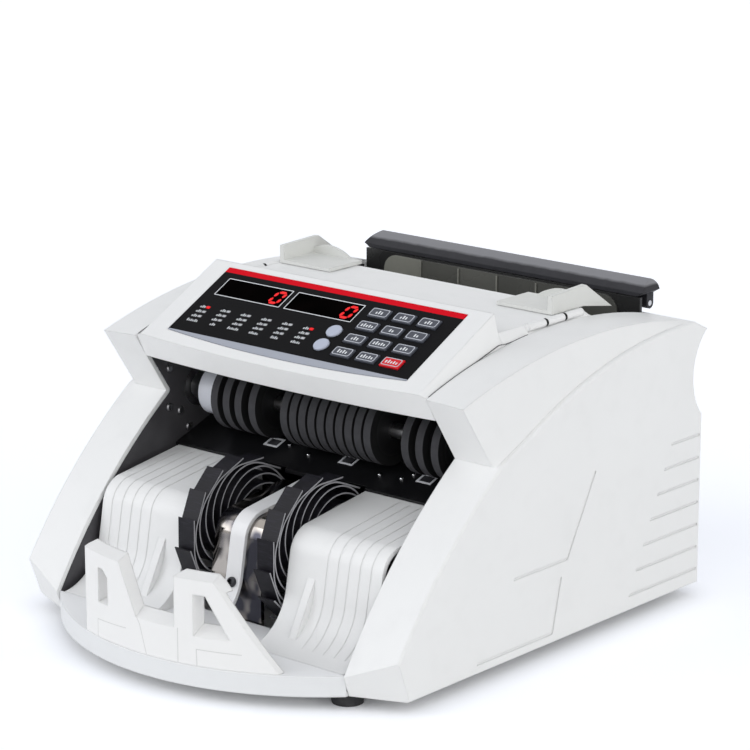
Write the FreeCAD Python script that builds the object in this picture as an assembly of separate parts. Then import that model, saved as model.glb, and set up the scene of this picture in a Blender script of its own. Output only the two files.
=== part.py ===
import FreeCAD, Part
import math
import os

from FreeCAD import Placement, Rotation, Vector

# Setbacks run from the front lip to the rear, heights from the underside of the covers; all in millimetres.

# Whole machine
WIDTH = 258.0  # across both side covers
DEPTH = 302.0  # front lip to the rear tip
FOOT_HEIGHT = 7.0  # rubber feet below the covers
CHEEK_WIDTH = 29.0  # each side cover
WALL = 2.5  # moulded covers
SEAM = 0.3  # gap between covers that meet
REST_GAP = 0.3  # between a moving piece and what it lies on

# Side covers
LEG_TOE_SETBACK = 33.5
LEG_MID_SETBACK = 79.0
LEG_MID_HEIGHT = 62.5
NOTCH_SETBACK = 124.5
NOTCH_DROP = 35.0  # below the chin
CHIN_SETBACK = 101.5
CHIN_DROP = 18.6  # below the crown
CROWN_SETBACK = 209.5
CROWN_HEIGHT = 156.6
EDGE_INSET = 5.5  # top edge in from the outer face
EDGE_DROP = 2.0  # top edge below the inner seam
TAIL_INSET = 11.5  # rear end of the crown, in from the rear tip
TAIL_DROP = 10.0  # below the crown
TIP_DROP = 5.6  # below the tail
SCOOP_INSET = 11.0
SCOOP_DROP = 17.0  # below the tip
BACK_INSET = 3.5  # flat back, in from the rear tip
BACK_HEIGHT = 95.0
BACK_LEAN = 18.0  # below that, the rear wall thickens inside to back the scoop
SIDE_PANEL_PROUD = 2.5  # lower side panel stands out from the band above it
SIDE_PANEL_ROUND = 1.6
RIDGE_FRONT_SETBACK = 150.0
RIDGE_FRONT_DROP = 42.1  # below the crown
RIDGE_MID_SETBACK = 200.0
RIDGE_MID_DROP = 22.1
TOE_CUT_OUTER_SETBACK = 55.5  # toe facet, where it meets the underside at the outer face
TOE_CUT_INNER_SETBACK = 43.6  # and at the inner face
TOE_CUT_RISE = 21.0  # height of the facet's crease at the outer face
TOE_CUT_LEAN = 8.0  # that crease stands this far ahead of the foot line
GROOVE_COUNT = 7
GROOVE_PITCH = 12.5
GROOVE_FIRST_HEIGHT = 8.0
GROOVE_FIRST_LENGTH = 61.0  # lowest groove, forward from the rear wall
GROOVE_STEP = 5.9  # each groove is shorter than the one below
GROOVE_WIDTH = 1.2
GROOVE_DEPTH = 0.6
CREASE_WIDTH = 1.2
CREASE_DEPTH = 0.5
HIGH_CREASE = ((203.5, 84.0), (180.5, 42.5), (136.5, 42.5))
LOW_CREASE = ((175.5, 34.0), (168.5, 5.5), (107.5, 5.5))

# Head cover with its console wedge and hopper deck
HEAD_WALL = 3.0
CHIN_LOW_SETBACK = 109.5
CHIN_LOW_DROP = 12.8  # lower edge of the head, below the side covers' chin
CHIN_BULGE = 4.5  # the console's front edge bows forward by this at the middle
CONSOLE_SLOPE = 27.1  # degrees
WEDGE_BACK_SETBACK = 160.5
WEDGE_BACK_RUN = 2.7
DECK_RISE = 2.7  # above the crown
DECK_BACK_INSET = 68.5  # rear edge of the deck, from the rear tip
GATE_INSET = 62.0  # front wall of the hopper, from the rear tip
GATE_ROUND = 5.0
GATE_OPENING = 10.7  # between its lower edge and the feed slope
SIDE_SLOPE_WIDTH = 4.0  # sloped flanks of the wedge and deck
BEAD_RADIUS = 2.2
BEAD_LEAD = 25.0  # first bead, ahead of the note guides
BEAD_LENGTH = 14.0
BEAD_GAP = 1.8
BEAD_COUNT = 3

# Control panel, measured along the console slope from its lower edge
PANEL_WIDTH = 164.0
PANEL_LENGTH = 54.0
PANEL_SETBACK = 108.2
PANEL_RISE = 5.3  # above the side covers' chin
PANEL_THICK = 1.2
PANEL_POCKET = 1.0
PANEL_MARGIN = 4.0  # ledge that carries the panel
KEY_GAP = 0.4
KEY_WIDTH = 12.4
KEY_LENGTH = 6.8
KEY_PROUD = 1.0
KEY_FLANGE = 1.0
KEY_FLANGE_THICK = 0.8
KEY_COLUMNS = 3
KEY_ROWS = 4
KEY_FIRST_X = 33.3
KEY_PITCH_X = 16.3
KEY_FIRST_RISE = 9.3
KEY_PITCH_RISE = 10.85
ROUND_KEY_RADIUS = 4.4
ROUND_KEY_X = 16.7
ROUND_KEY_LOW_RISE = 11.8
ROUND_KEY_PITCH = 11.2
DISPLAY_WIDTH = 45.0
DISPLAY_LENGTH = 13.0
DISPLAY_FIRST_X = -52.0
DISPLAY_PITCH = 49.5
DISPLAY_RISE = 38.8
LAMP_WIDTH = 2.4
LAMP_LENGTH = 1.6
LAMP_COLUMNS = 6
LAMP_ROWS = 3
LAMP_FIRST_X = -70.5
LAMP_PITCH_X = 14.6
LAMP_FIRST_RISE = 13.6
LAMP_PITCH_RISE = 3.8
BOARD_THICK = 1.6

# Base and stacker
PAN_THICK = 2.5
LIP_REACH = 41.7  # the bowed lip stands this far ahead of where it meets the side covers
LIP_HEIGHT = 10.8
APRON_BACK_SETBACK = 42.3  # where the beds begin
TONGUE_BACK_SETBACK = 70.0  # apron floor between the beds
BED_INNER_X = 36.0
BED_REAR_SETBACK = 130.5
SHOULDER_BACK_SETBACK = 84.0
SHOULDER_BACK_HEIGHT = 65.5
SHOULDER_MID_SETBACK = 76.3
SHOULDER_MID_HEIGHT = 61.3
SHOULDER_FRONT_SETBACK = 72.2
SHOULDER_FRONT_HEIGHT = 53.0
FACE_FOOT_SETBACK = 68.6
FACE_FOOT_HEIGHT = 33.0
COVE_MID_SETBACK = 59.5
COVE_MID_HEIGHT = 18.0
BED_GROOVES = 5
BED_GROOVE_WIDTH = 0.8
BED_GROOVE_DEPTH = 0.22
FIN_X = 49.5
FIN_WIDTH = 5.0
FIN_TOP_HEIGHT = 49.0
FIN_TOE_SETBACK = 54.0
STRIP_WIDTH = 10.0
STRIP_THICK = 2.0
STRIP_END_HEIGHT = 19.0
BRACKET_WIDTH = 34.0
BRACKET_THICK = 1.2
STOP_INSET = 0.5  # behind the lip's edge
STOP_THICK = 8.0
STOP_WEB = 3.5  # thickness along the long right slope
STOP_RIM = 8.0  # how far that thin web reaches in from the slope
STOP_CROWN_DROP = 2.2  # the horns' tops fall towards the front
STOP_TOP_HEIGHT = 57.5
STOP_VALLEY_HEIGHT = 29.0  # at the front
STOP_VALLEY_RISE = 4.0  # towards the rear
STOP_LEFT_X = -45.5
STOP_LEFT_TOP_X = -16.0
STOP_VALLEY_LEFT_X = -2.5
STOP_VALLEY_RIGHT_X = 22.0
STOP_RIGHT_TOP_X = 45.0
STOP_RIGHT_X = 74.0
STOP_CORNER = 3.5
STOP_EDGE = 1.5  # smaller corner on the left of each horn
WINDOW_RISE = 31.0  # at the rear
WINDOW_TALL = 16.5
LEFT_SILL_FALL = 1.5  # towards the front
RIGHT_SILL_FALL = 4.8
LEFT_WINDOW_X = -32.5
LEFT_WINDOW_WIDTH = 8.0
RIGHT_WINDOW_X = 33.0
RIGHT_WINDOW_TOP_WIDTH = 6.5
RIGHT_WINDOW_BASE_WIDTH = 16.0

# Shafts and what turns on them
SHAFT_RADIUS = 4.0
SHAFT_FIT = 0.05  # running clearance of a shaft in its bearing
PRESS_FIT = 0.02
BEARING_RADIUS = 11.0
BEARING_WIDTH = 6.0
PLATE_THICK = 2.0
COUNTING_INSET = 25.5  # counting axle, behind the side covers' notch
COUNTING_HEIGHT = 101.0
DISC_RADIUS = 19.0
DISC_WIDTH = 4.8
DISC_MIDDLE_COUNT = 10
DISC_MIDDLE_PITCH = 6.4
DISC_MIDDLE_OFFSET = 7.6  # of the middle discs, towards the right
DISC_LEFT_INSETS = (28.9, 37.6, 46.2, 56.2)  # from the left frame plate
DISC_RIGHT_INSETS = (38.2, 28.8, 18.6)  # from the right frame plate
WHITE_ROLLER_RADIUS = 13.5
WHITE_ROLLER_WIDTH = 11.0
WHITE_ROLLER_INSET = 17.5  # its middle, from the left frame plate
IMPELLER_SETBACK = 101.0
IMPELLER_HEIGHT = 44.5
IMPELLER_RADIUS = 41.0
IMPELLER_X = 27.5
IMPELLER_WIDTH = 11.0
IMPELLER_HUB = 13.0
BLADE_COUNT = 16
BLADE_THICK = 0.9
LEAF_RADIUS = 38.0  # where a blade's straight leaf ends
LEAF_SWEEP = 22.5  # degrees from the tip
BLADE_MID_RADIUS = 30.2
BLADE_MID_SWEEP = 73.0
BLADE_SWEEP = 150.0  # from tip to root
IMPELLER_CLEAR = 2.0
FEED_RADIUS = 17.0
FEED_WIDTH = 22.0
FEED_X = 30.0
FEED_PROUD = 1.5  # rollers stand this far above the feed slope
FEED_INSET = 87.0  # from the rear tip
SLOPE_TOP_INSET = 56.0
SLOPE_TOP_DROP = 20.6  # below the covers' tail
SLOPE_END_GAP = 7.0  # between the feed slope's end and the counting discs
SLOPE_END_HEIGHT = 94.0
FLOOR_REAR_INSET = 17.0
FLOOR_REAR_RISE = 12.0  # above the top of the feed slope
FLOOR_THICK = 1.5
SENSOR_SLOPE = 19.3  # degrees
SENSOR_GAP = 1.0  # between the counting discs and the sensor plate
SENSOR_BACK_SETBACK = 172.0
SENSOR_THICK = 2.0
SENSOR_WINDOW_WIDTH = 8.0
SENSOR_WINDOW_LENGTH = 6.0
SENSOR_FIRST_X = -43.5
SENSOR_PITCH = 53.0
SENSOR_COUNT = 3
SENSOR_SETBACK = 148.5
PULLEY_WIDTH = 5.0
PULLEY_FLANGE = 2.0
PULLEY_SPACE = 1.2
BELT_THICK = 1.4
BELT_GAP = 0.3
MOTOR_INSET = 77.0  # from the rear tip
MOTOR_HEIGHT = 42.0
MOTOR_RADIUS = 24.0
MOTOR_LENGTH = 62.0
MOTOR_SHAFT_RADIUS = 3.0
MOTOR_PULLEY_RADIUS = 9.0
COUNTING_DRIVEN_RADIUS = 12.0
COUNTING_DRIVER_RADIUS = 8.0
COUNTING_FEED_RADIUS = 14.0
IMPELLER_PULLEY_RADIUS = 20.0
FEED_PULLEY_RADIUS = 18.0
ROD_RADIUS = 3.0
FRONT_ROD = (160.0, 40.0)  # setback and height
REAR_RODS = ((40.0, 104.0), (19.0, 75.0))  # inset from the rear tip and height
SCREW_RADIUS = 2.2
SCREW_HEAD = 1.2
SCREW_PLACES = ((1.7, 93.5), (10.2, 89.9), (16.6, 79.6))  # behind the side covers' notch, and height
COVER_SCREW_INSET = 2.3
COVER_SCREW_RISE = 12.0  # above the side covers' notch

# Hopper
GUIDE_SIDE_INSET = 8.5  # inner face of the upright plate, from the side cover
GUIDE_THICK = 3.0
GUIDE_TRAVEL = 28.0
GUIDE_INSET = 92.0  # front of the guides, from the rear tip
GUIDE_FOOT_LENGTH = 27.0
GUIDE_FOOT_WIDTH = 33.5
GUIDE_FOOT_THICK = 2.0
GUIDE_RISE = 10.0
GUIDE_TOP_LENGTH = 29.0
GUIDE_REAR_LENGTH = 52.0
GUIDE_REAR_DROP = 4.5
GUIDE_FIN_RISE = 5.0
TONGUE_LENGTH = 4.0
TONGUE_WIDTH = 4.0
TONGUE_GAP = 0.3
TONGUE_INSET = 1.0  # from the upright plate
TONGUE_FOOT = 3.0
TONGUE_FOOT_THICK = 1.6
BACK_PLATE_INSET = 4.0  # each end, from the side cover
BACK_PLATE_THICK = 2.0
FIELD_INSET = 18.2  # each end of the back plate's raised middle, from the side cover
FIELD_PROUD = 1.2
FIELD_ROUND = 9.0
FIELD_RIBS = 5
FIELD_RIB = 0.8
HINGE_INSET = 4.5
HINGE_RISE = 3.4  # pin above the covers' tail
HINGE_RADIUS = 3.0
PIN_RADIUS = 1.5
LUG_X = 63.0
LUG_WIDTH = 6.0
LUG_ROOM = 1.2  # round the lugs, so that the support can fold back
SUPPORT_END_GAP = 2.0
SUPPORT_TOP_RISE = 13.8  # crest above the pin
SUPPORT_LOW_RISE = 5.6  # underside above the pin
SUPPORT_FRONT_INSET = 16.7
SUPPORT_CREST_INSET = 5.5
SUPPORT_NOSE = 2.4  # upright front edge
SUPPORT_TOP_BULGE = 1.0
SUPPORT_BACK_BULGE = 1.2
SUPPORT_SHOULDER = 4.3  # the rear rounding ends this far below the crest
SUPPORT_CORNER = 12.0  # rounding of its upper ends, along the bar
SUPPORT_CORNER_BULGE = 2.5
SUPPORT_UNDERCUT = 4.0  # its underside is this much shorter at each end

# Rear services and inner units
INLET_SIDE_INSET = 38.0  # its middle, from the side cover
INLET_HEIGHT = 40.0
INLET_WIDTH = 28.0
INLET_TALL = 20.0
INLET_FLANGE = 5.0
INLET_FLANGE_THICK = 2.0
INLET_DEPTH = 18.0
INLET_WALL = 2.0
INLET_PIN_LENGTH = 9.0
INLET_PIN_WIDTH = 2.0
INLET_PIN_TALL = 4.0
INLET_PIN_DROP = 1.0  # outer pins below the middle line
INLET_EARTH_RISE = 2.0  # middle pin above it
SWITCH_SPACING = 38.0  # from the inlet's middle to the switch's
SWITCH_WIDTH = 12.0
SWITCH_TALL = 20.0
SWITCH_GAP = 0.5
SWITCH_WALL = 2.0
SWITCH_PIVOT_RADIUS = 1.2
FOOT_RADIUS = 9.0
FOOT_SIDE_INSET = 8.0  # middle of a foot, from the side cover
FOOT_FRONT_SETBACK = 52.0
FOOT_REAR_INSET = 30.0
FOOT_TAPER = 1.0
TRANSFORMER_SIDE_INSET = 11.0  # from the left frame plate
TRANSFORMER_INSET = 28.0  # its back, from the rear tip
TRANSFORMER_WIDTH = 54.0
TRANSFORMER_LENGTH = 46.0
TRANSFORMER_TALL = 44.0
MAIN_BOARD_WIDTH = 110.0
MAIN_BOARD_LENGTH = 44.0
MAIN_BOARD_SETBACK = 152.0
BOSS_TALL = 6.0
BOSS_RADIUS = 3.0

# Values that follow from the sizes above
HALF = WIDTH / 2
INNER = HALF - CHEEK_WIDTH
SPAN = INNER - SEAM  # half width of what lies between the side covers
SLOPE_TAN = math.tan(math.radians(CONSOLE_SLOPE))
SENSOR_TAN = math.tan(math.radians(SENSOR_SLOPE))
LIP_RADIUS = (SPAN ** 2 + LIP_REACH ** 2) / (2 * LIP_REACH)
WHITE_ROLLER_X = WHITE_ROLLER_INSET - INNER
GUIDE_X = INNER - GUIDE_SIDE_INSET
FOOT_X = INNER - FOOT_SIDE_INSET
TRANSFORMER_X = TRANSFORMER_SIDE_INSET + TRANSFORMER_WIDTH / 2 - INNER
INLET_X = INLET_SIDE_INSET - INNER
SWITCH_X = INLET_X + SWITCH_SPACING
COUNTING_SETBACK = NOTCH_SETBACK + COUNTING_INSET
SLOPE_END_SETBACK = COUNTING_SETBACK + DISC_RADIUS + SLOPE_END_GAP
COUNTING = (COUNTING_SETBACK, COUNTING_HEIGHT)
IMPELLER = (IMPELLER_SETBACK, IMPELLER_HEIGHT)
CHIN_HEIGHT = CROWN_HEIGHT - CHIN_DROP
NOTCH_HEIGHT = CHIN_HEIGHT - NOTCH_DROP
TAIL_HEIGHT = CROWN_HEIGHT - TAIL_DROP
TIP_HEIGHT = TAIL_HEIGHT - TIP_DROP
SCOOP_HEIGHT = TIP_HEIGHT - SCOOP_DROP
RIDGE_FRONT_HEIGHT = CROWN_HEIGHT - RIDGE_FRONT_DROP
RIDGE_MID_HEIGHT = CROWN_HEIGHT - RIDGE_MID_DROP
CHIN_LOW_HEIGHT = CHIN_HEIGHT - CHIN_LOW_DROP
DECK_HEIGHT = CROWN_HEIGHT + DECK_RISE
PANEL_HEIGHT = CHIN_HEIGHT + PANEL_RISE
SLOPE_TOP_HEIGHT = TAIL_HEIGHT - SLOPE_TOP_DROP
DECK_BACK_SETBACK = DEPTH - DECK_BACK_INSET
GATE_SETBACK = DEPTH - GATE_INSET
GUIDE_SETBACK = DEPTH - GUIDE_INSET
SLOPE_TOP_SETBACK = DEPTH - SLOPE_TOP_INSET
FLOOR_REAR = (DEPTH - FLOOR_REAR_INSET, SLOPE_TOP_HEIGHT + FLOOR_REAR_RISE)
MOTOR = (DEPTH - MOTOR_INSET, MOTOR_HEIGHT)
RODS = (FRONT_ROD, *((DEPTH - inset, height) for inset, height in REAR_RODS))
HINGE = (DEPTH - HINGE_INSET, TAIL_HEIGHT + HINGE_RISE)
SUPPORT_LOW = HINGE[1] + SUPPORT_LOW_RISE
SUPPORT_END = SPAN - SUPPORT_END_GAP
TAIL = (DEPTH - TAIL_INSET, TAIL_HEIGHT)
TIP = (DEPTH, TIP_HEIGHT)
SCOOP = (DEPTH - SCOOP_INSET, SCOOP_HEIGHT)
BACK = DEPTH - BACK_INSET
RIGHT_PULLEY_X = INNER + BEARING_WIDTH + PULLEY_SPACE
SECOND_PULLEY_X = RIGHT_PULLEY_X + PULLEY_WIDTH + PULLEY_SPACE


def slope_height(setback):
    """Height of the feed slope at a setback."""
    fall = (SLOPE_TOP_HEIGHT - SLOPE_END_HEIGHT) / (SLOPE_TOP_SETBACK - SLOPE_END_SETBACK)
    return SLOPE_TOP_HEIGHT - (SLOPE_TOP_SETBACK - setback) * fall


def feed_axle():
    """Axle of the feed rollers, which stand a little proud of the feed slope."""
    run = SLOPE_TOP_SETBACK - SLOPE_END_SETBACK
    rise = SLOPE_TOP_HEIGHT - SLOPE_END_HEIGHT
    length = math.hypot(run, rise)
    drop = FEED_RADIUS - FEED_PROUD
    setback = DEPTH - FEED_INSET
    return setback + drop * rise / length, slope_height(setback) - drop * run / length


FEED = feed_axle()
GATE_HEIGHT = slope_height(GATE_SETBACK) + GATE_OPENING


def spot(x, setback, height):
    """A point of the model from its place across, behind the lip and above the covers' underside."""
    return Vector(x, setback - DEPTH / 2, height + FOOT_HEIGHT)


def closed_wire(place, start, legs):
    """Closed outline; a leg is a corner, or a list of a point on an arc and its end."""
    edges = []
    first = last = place(*start)
    for leg in legs:
        if isinstance(leg, list):
            through, end = (place(*point) for point in leg)
            edges.append(Part.Arc(last, through, end).toShape())
        else:
            end = place(*leg)
            edges.append(Part.LineSegment(last, end).toShape())
        last = end
    if not last.isEqual(first, 1e-6):
        edges.append(Part.LineSegment(last, first).toShape())
    return Part.Wire(edges)


def side_wire(x, start, *legs):
    """Outline of setbacks and heights in the plane X = x."""
    return closed_wire(lambda setback, height: spot(x, setback, height), start, legs)


def side_prism(x0, x1, start, *legs):
    """Solid with a side outline, from X = x0 to X = x1."""
    return Part.Face(side_wire(x0, start, *legs)).extrude(Vector(x1 - x0, 0, 0))


def front_prism(setback0, setback1, start, *legs):
    """Solid with an outline of places across and heights, between two setbacks."""
    wire = closed_wire(lambda x, height: spot(x, setback0, height), start, legs)
    return Part.Face(wire).extrude(Vector(0, setback1 - setback0, 0))


def bulged(start, end, bulge):
    """Arc between two corners that stands out to the left of the straight way by a bulge."""
    run, rise = end[0] - start[0], end[1] - start[1]
    share = bulge / math.hypot(run, rise)
    return [((start[0] + end[0]) / 2 - rise * share, (start[1] + end[1]) / 2 + run * share), end]


def block(x0, x1, setback0, setback1, height0, height1):
    """Box between two places along each axis."""
    size = (x1 - x0, setback1 - setback0, height1 - height0)
    return Part.makeBox(*size, spot(x0, setback0, height0))


def rod(x0, x1, axle, radius):
    """Round bar along X."""
    return Part.makeCylinder(radius, x1 - x0, spot(x0, *axle), Vector(1, 0, 0))


def ring(x0, x1, axle, radius, bore):
    """Round bar along X with a bore."""
    return rod(x0, x1, axle, radius).cut(rod(x0 - 1, x1 + 1, axle, bore))


def post(x, setback, height0, height1, radius):
    """Upright round bar."""
    return Part.makeCylinder(radius, height1 - height0, spot(x, setback, height0))


def joined(pieces):
    """One solid from overlapping pieces."""
    first, *others = pieces
    return first.fuse(others).removeSplitter() if others else first


def mirrored(shape):
    """The same piece on the other side of the machine."""
    return shape.mirror(Vector(0, 0, 0), Vector(1, 0, 0))


def both_sides(shape):
    """A piece and its mirror image."""
    return [shape, mirrored(shape)]


def arc_height(setback):
    """Height of the covers' inner seam at a setback."""
    chin, crown, tail = (Vector(*p, 0) for p in (
        (CHIN_SETBACK, CHIN_HEIGHT), (CROWN_SETBACK, CROWN_HEIGHT), TAIL))
    circle = Part.Arc(chin, crown, tail).toShape().Curve
    return circle.Center.y + math.sqrt(circle.Radius ** 2 - (setback - circle.Center.x) ** 2)


def console_height(setback):
    """Height of the console's sloping face at a setback."""
    return PANEL_HEIGHT + (setback - PANEL_SETBACK) * SLOPE_TAN


def cheek_wire(x, chin, crown):
    """Outline of a side cover: leg, notch, chin, crown, tail, scooped back."""
    return side_wire(
        x, (LEG_TOE_SETBACK, 0.0), [(LEG_MID_SETBACK, LEG_MID_HEIGHT), (NOTCH_SETBACK, NOTCH_HEIGHT)],
        chin, [crown, TAIL], TIP, [SCOOP, (BACK, BACK_HEIGHT)], (BACK, 0.0))


def seam_wire(x):
    """Outline at the inner seam."""
    return cheek_wire(x, (CHIN_SETBACK, CHIN_HEIGHT), (CROWN_SETBACK, CROWN_HEIGHT))


def edge_wire(x):
    """Outline at the top edge, a little lower than the seam."""
    chin, crown = CHIN_HEIGHT - EDGE_DROP / 2, CROWN_HEIGHT - EDGE_DROP
    return cheek_wire(x, (CHIN_SETBACK, chin), (CROWN_SETBACK, crown))


def ridge_wire(x):
    """Outline of the lower side panel, whose top is the long arched ridge."""
    return cheek_wire(x, (RIDGE_FRONT_SETBACK, RIDGE_FRONT_HEIGHT), (RIDGE_MID_SETBACK, RIDGE_MID_HEIGHT))


def toe_cut(inset):
    """What the toe's slanted facet takes away, moved into the cover by an inset."""
    foot = spot(HALF, TOE_CUT_OUTER_SETBACK, 0)
    crease = spot(HALF, TOE_CUT_OUTER_SETBACK - TOE_CUT_LEAN, TOE_CUT_RISE)
    inner = spot(INNER, TOE_CUT_INNER_SETBACK, 0)
    normal = (inner - foot).cross(crease - foot).normalize()
    if normal.y > 0:
        normal = normal * -1
    cutter = Part.makeBox(DEPTH, DEPTH, DEPTH, Vector(-DEPTH / 2, -DEPTH / 2, -inset))
    cutter.Placement = Placement(foot, Rotation(Vector(0, 0, 1), normal))
    return cutter


def crease(points):
    """Shallow line along a path on the right cover's outer face."""
    strips = []
    for start, end in zip(points, points[1:]):
        first = spot(HALF - CREASE_DEPTH, *start)
        last = spot(HALF - CREASE_DEPTH, *end)
        side = (last - first).normalize().cross(Vector(1, 0, 0)) * (CREASE_WIDTH / 2)
        corners = [first + side, last + side, last - side, first - side, first + side]
        strips.append(Part.Face(Part.makePolygon(corners)).extrude(Vector(2 * CREASE_DEPTH, 0, 0)))
    return joined(strips)


def right_side_cover():
    """Hollow cheek: leg, sloping upper band, proud lower panel with its vents and moulded lines."""
    seam = seam_wire(INNER)
    edge = edge_wire(HALF - EDGE_INSET)
    ridge = ridge_wire(HALF - SIDE_PANEL_PROUD)
    panel = Part.Face(ridge).extrude(Vector(SIDE_PANEL_PROUD, 0, 0))
    rim = [e for e in panel.Edges if all(abs(v.X - HALF) < 1e-6 for v in e.Vertexes)]
    panel = panel.makeFillet(SIDE_PANEL_ROUND, rim)
    body = joined([Part.makeLoft([seam, edge], True, True), Part.makeLoft([edge, ridge], True, True), panel])
    body = body.cut(toe_cut(0.0))
    depth = CHEEK_WIDTH - EDGE_INSET - WALL
    cavity = Part.Face(edge_wire(INNER)).makeOffset2D(-WALL).extrude(Vector(depth, 0, 0))
    body = body.cut(cavity.cut(toe_cut(WALL)))
    for index in range(GROOVE_COUNT):
        height = GROOVE_FIRST_HEIGHT + index * GROOVE_PITCH
        end = BACK - WALL
        start = end - GROOVE_FIRST_LENGTH + index * GROOVE_STEP
        body = body.cut(block(HALF - GROOVE_DEPTH, HALF + 1, start, end, height, height + GROOVE_WIDTH))
    return body.cut([crease(HIGH_CREASE), crease(LOW_CREASE)])


def right_frame_plate():
    """Steel side plate closing the cheek, bored for the bearings and the motor."""
    plate = Part.Face(edge_wire(INNER)).makeOffset2D(-(WALL + SEAM)).extrude(Vector(PLATE_THICK, 0, 0))
    plate = plate.cut(toe_cut(WALL + SEAM))
    for axle in (COUNTING, IMPELLER, FEED):
        plate = plate.cut(rod(INNER - 1, INNER + PLATE_THICK + 1, axle, BEARING_RADIUS + PRESS_FIT))
    hole = MOTOR_SHAFT_RADIUS + SEAM
    return plate.cut(rod(INNER - 1, INNER + PLATE_THICK + 1, MOTOR, hole))


def left_frame_plate():
    """The other side plate, with no hole for the motor."""
    plate = right_frame_plate().fuse(rod(INNER, INNER + PLATE_THICK, MOTOR, MOTOR_SHAFT_RADIUS + 2 * SEAM))
    return mirrored(plate.removeSplitter())


def head_points(front, wall_bottom):
    """Corners of the head's side outline, from the chin round to the hopper's front wall."""
    lean = (CHIN_LOW_SETBACK - CHIN_SETBACK) / (console_height(CHIN_SETBACK) - CHIN_LOW_HEIGHT)
    top = console_height(front)
    low = min(wall_bottom, CHIN_LOW_HEIGHT)
    return [
        (front + (top - low) * lean, low),
        (front, top),
        (WEDGE_BACK_SETBACK, console_height(WEDGE_BACK_SETBACK)),
        (WEDGE_BACK_SETBACK + WEDGE_BACK_RUN, DECK_HEIGHT),
        (DECK_BACK_SETBACK, DECK_HEIGHT),
        (GATE_SETBACK, DECK_HEIGHT - GATE_ROUND),
        (GATE_SETBACK, wall_bottom),
    ]


def flank_points(front):
    """The same corners at the seam with the side covers, on the covers' arched line."""
    chin, edge, top, step, deck, gate, foot = head_points(front, GATE_HEIGHT)
    lowered = [(p[0], arc_height(p[0])) for p in (edge, top, step, deck)]
    return [chin, *lowered, (gate[0], min(gate[1], arc_height(gate[0]))), foot]


def chin_bow():
    """Space behind the head's bowed and leaning front."""
    reach = 2 * INNER
    top = console_height(WEDGE_BACK_SETBACK)
    lean = (CHIN_LOW_SETBACK - CHIN_SETBACK) / (console_height(CHIN_SETBACK) - CHIN_LOW_HEIGHT)
    radius = (SPAN ** 2 + CHIN_BULGE ** 2) / (2 * CHIN_BULGE)
    side = radius - math.sqrt(radius ** 2 - reach ** 2)
    front = CHIN_SETBACK - CHIN_BULGE - (top - console_height(CHIN_SETBACK)) * lean
    left, right = spot(-reach, front + side, top), spot(reach, front + side, top)
    arc = Part.Arc(left, spot(0, front, top), right).toShape()
    rest = Part.makePolygon([right, spot(reach, DEPTH, top), spot(-reach, DEPTH, top), left])
    return Part.Face(Part.Wire([arc, *rest.Edges])).extrude(Vector(0, top * lean, -top))


def panel_place():
    """Where the console's own axes lie: across, up the slope and out of it."""
    return Placement(spot(0, PANEL_SETBACK, PANEL_HEIGHT), Rotation(Vector(1, 0, 0), CONSOLE_SLOPE))


def on_panel(shape):
    """A shape drawn in the console's own axes, put in its place."""
    shape.Placement = panel_place()
    return shape


def panel_block(x, rise, width, length, low, high):
    """Box on the console about a centre."""
    return on_panel(Part.makeBox(width, length, high - low, Vector(x - width / 2, rise - length / 2, low)))


def panel_disc(x, rise, radius, low, high):
    """Round bar out of the console."""
    return on_panel(Part.makeCylinder(radius, high - low, Vector(x, rise, low)))


def panel_sheet(grow, low, high):
    """Plate of the panel's outline, with its bowed lower edge, grown all round."""
    half = PANEL_WIDTH / 2
    left, right = Vector(-half, 0, low), Vector(half, 0, low)
    top_right, top_left = Vector(half, PANEL_LENGTH, low), Vector(-half, PANEL_LENGTH, low)
    bow = Part.Arc(left, Vector(0, -CHIN_BULGE, low), right).toShape()
    face = Part.Face(Part.Wire([bow, *Part.makePolygon([right, top_right, top_left, left]).Edges]))
    if grow:
        face = face.makeOffset2D(grow)
    return on_panel(face.extrude(Vector(0, 0, high - low)))


def guide_slot():
    """Slot in the deck along which the right guide's tongue slides."""
    outer = GUIDE_X - TONGUE_INSET
    middle = GUIDE_SETBACK + GUIDE_FOOT_LENGTH / 2
    return block(outer - TONGUE_LENGTH - GUIDE_TRAVEL - TONGUE_GAP, outer + TONGUE_GAP,
                 middle - TONGUE_WIDTH / 2 - TONGUE_GAP, middle + TONGUE_WIDTH / 2 + TONGUE_GAP,
                 DECK_HEIGHT - HEAD_WALL - 1, DECK_HEIGHT + 1)


def head_cover():
    """Upper cover between the cheeks: bowed chin, console wedge, hopper deck and gate."""
    raw_front = CHIN_SETBACK - CHIN_BULGE
    inner_x = SPAN - SIDE_SLOPE_WIDTH
    full = head_points(raw_front, GATE_HEIGHT)
    middle = side_prism(-inner_x, inner_x, *full)
    flank = Part.makeLoft([side_wire(inner_x, *full), side_wire(SPAN, *flank_points(raw_front))], True, True)
    body = joined([middle, *both_sides(flank)]).common(chin_bow())
    room = Part.Face(side_wire(-inner_x, *head_points(CHIN_SETBACK, 0.0))).makeOffset2D(-HEAD_WALL)
    body = body.cut(room.extrude(Vector(2 * inner_x, 0, 0)))
    beads = []
    for index in range(BEAD_COUNT):
        start = GUIDE_SETBACK - BEAD_LEAD + index * (BEAD_LENGTH + BEAD_GAP)
        centre = spot(SPAN - BEAD_RADIUS, start, DECK_HEIGHT - BEAD_RADIUS / 2)
        beads += both_sides(Part.makeCylinder(BEAD_RADIUS, BEAD_LENGTH, centre, Vector(0, 1, 0)))
    body = joined([body, *beads])
    body = body.cut(panel_sheet(SEAM, -PANEL_POCKET, HEAD_WALL))
    window = panel_block(0, PANEL_LENGTH / 2, PANEL_WIDTH - 2 * PANEL_MARGIN, PANEL_LENGTH - 2 * PANEL_MARGIN,
                         -2 * HEAD_WALL, 1)
    return body.cut([window, *both_sides(guide_slot())])


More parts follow.
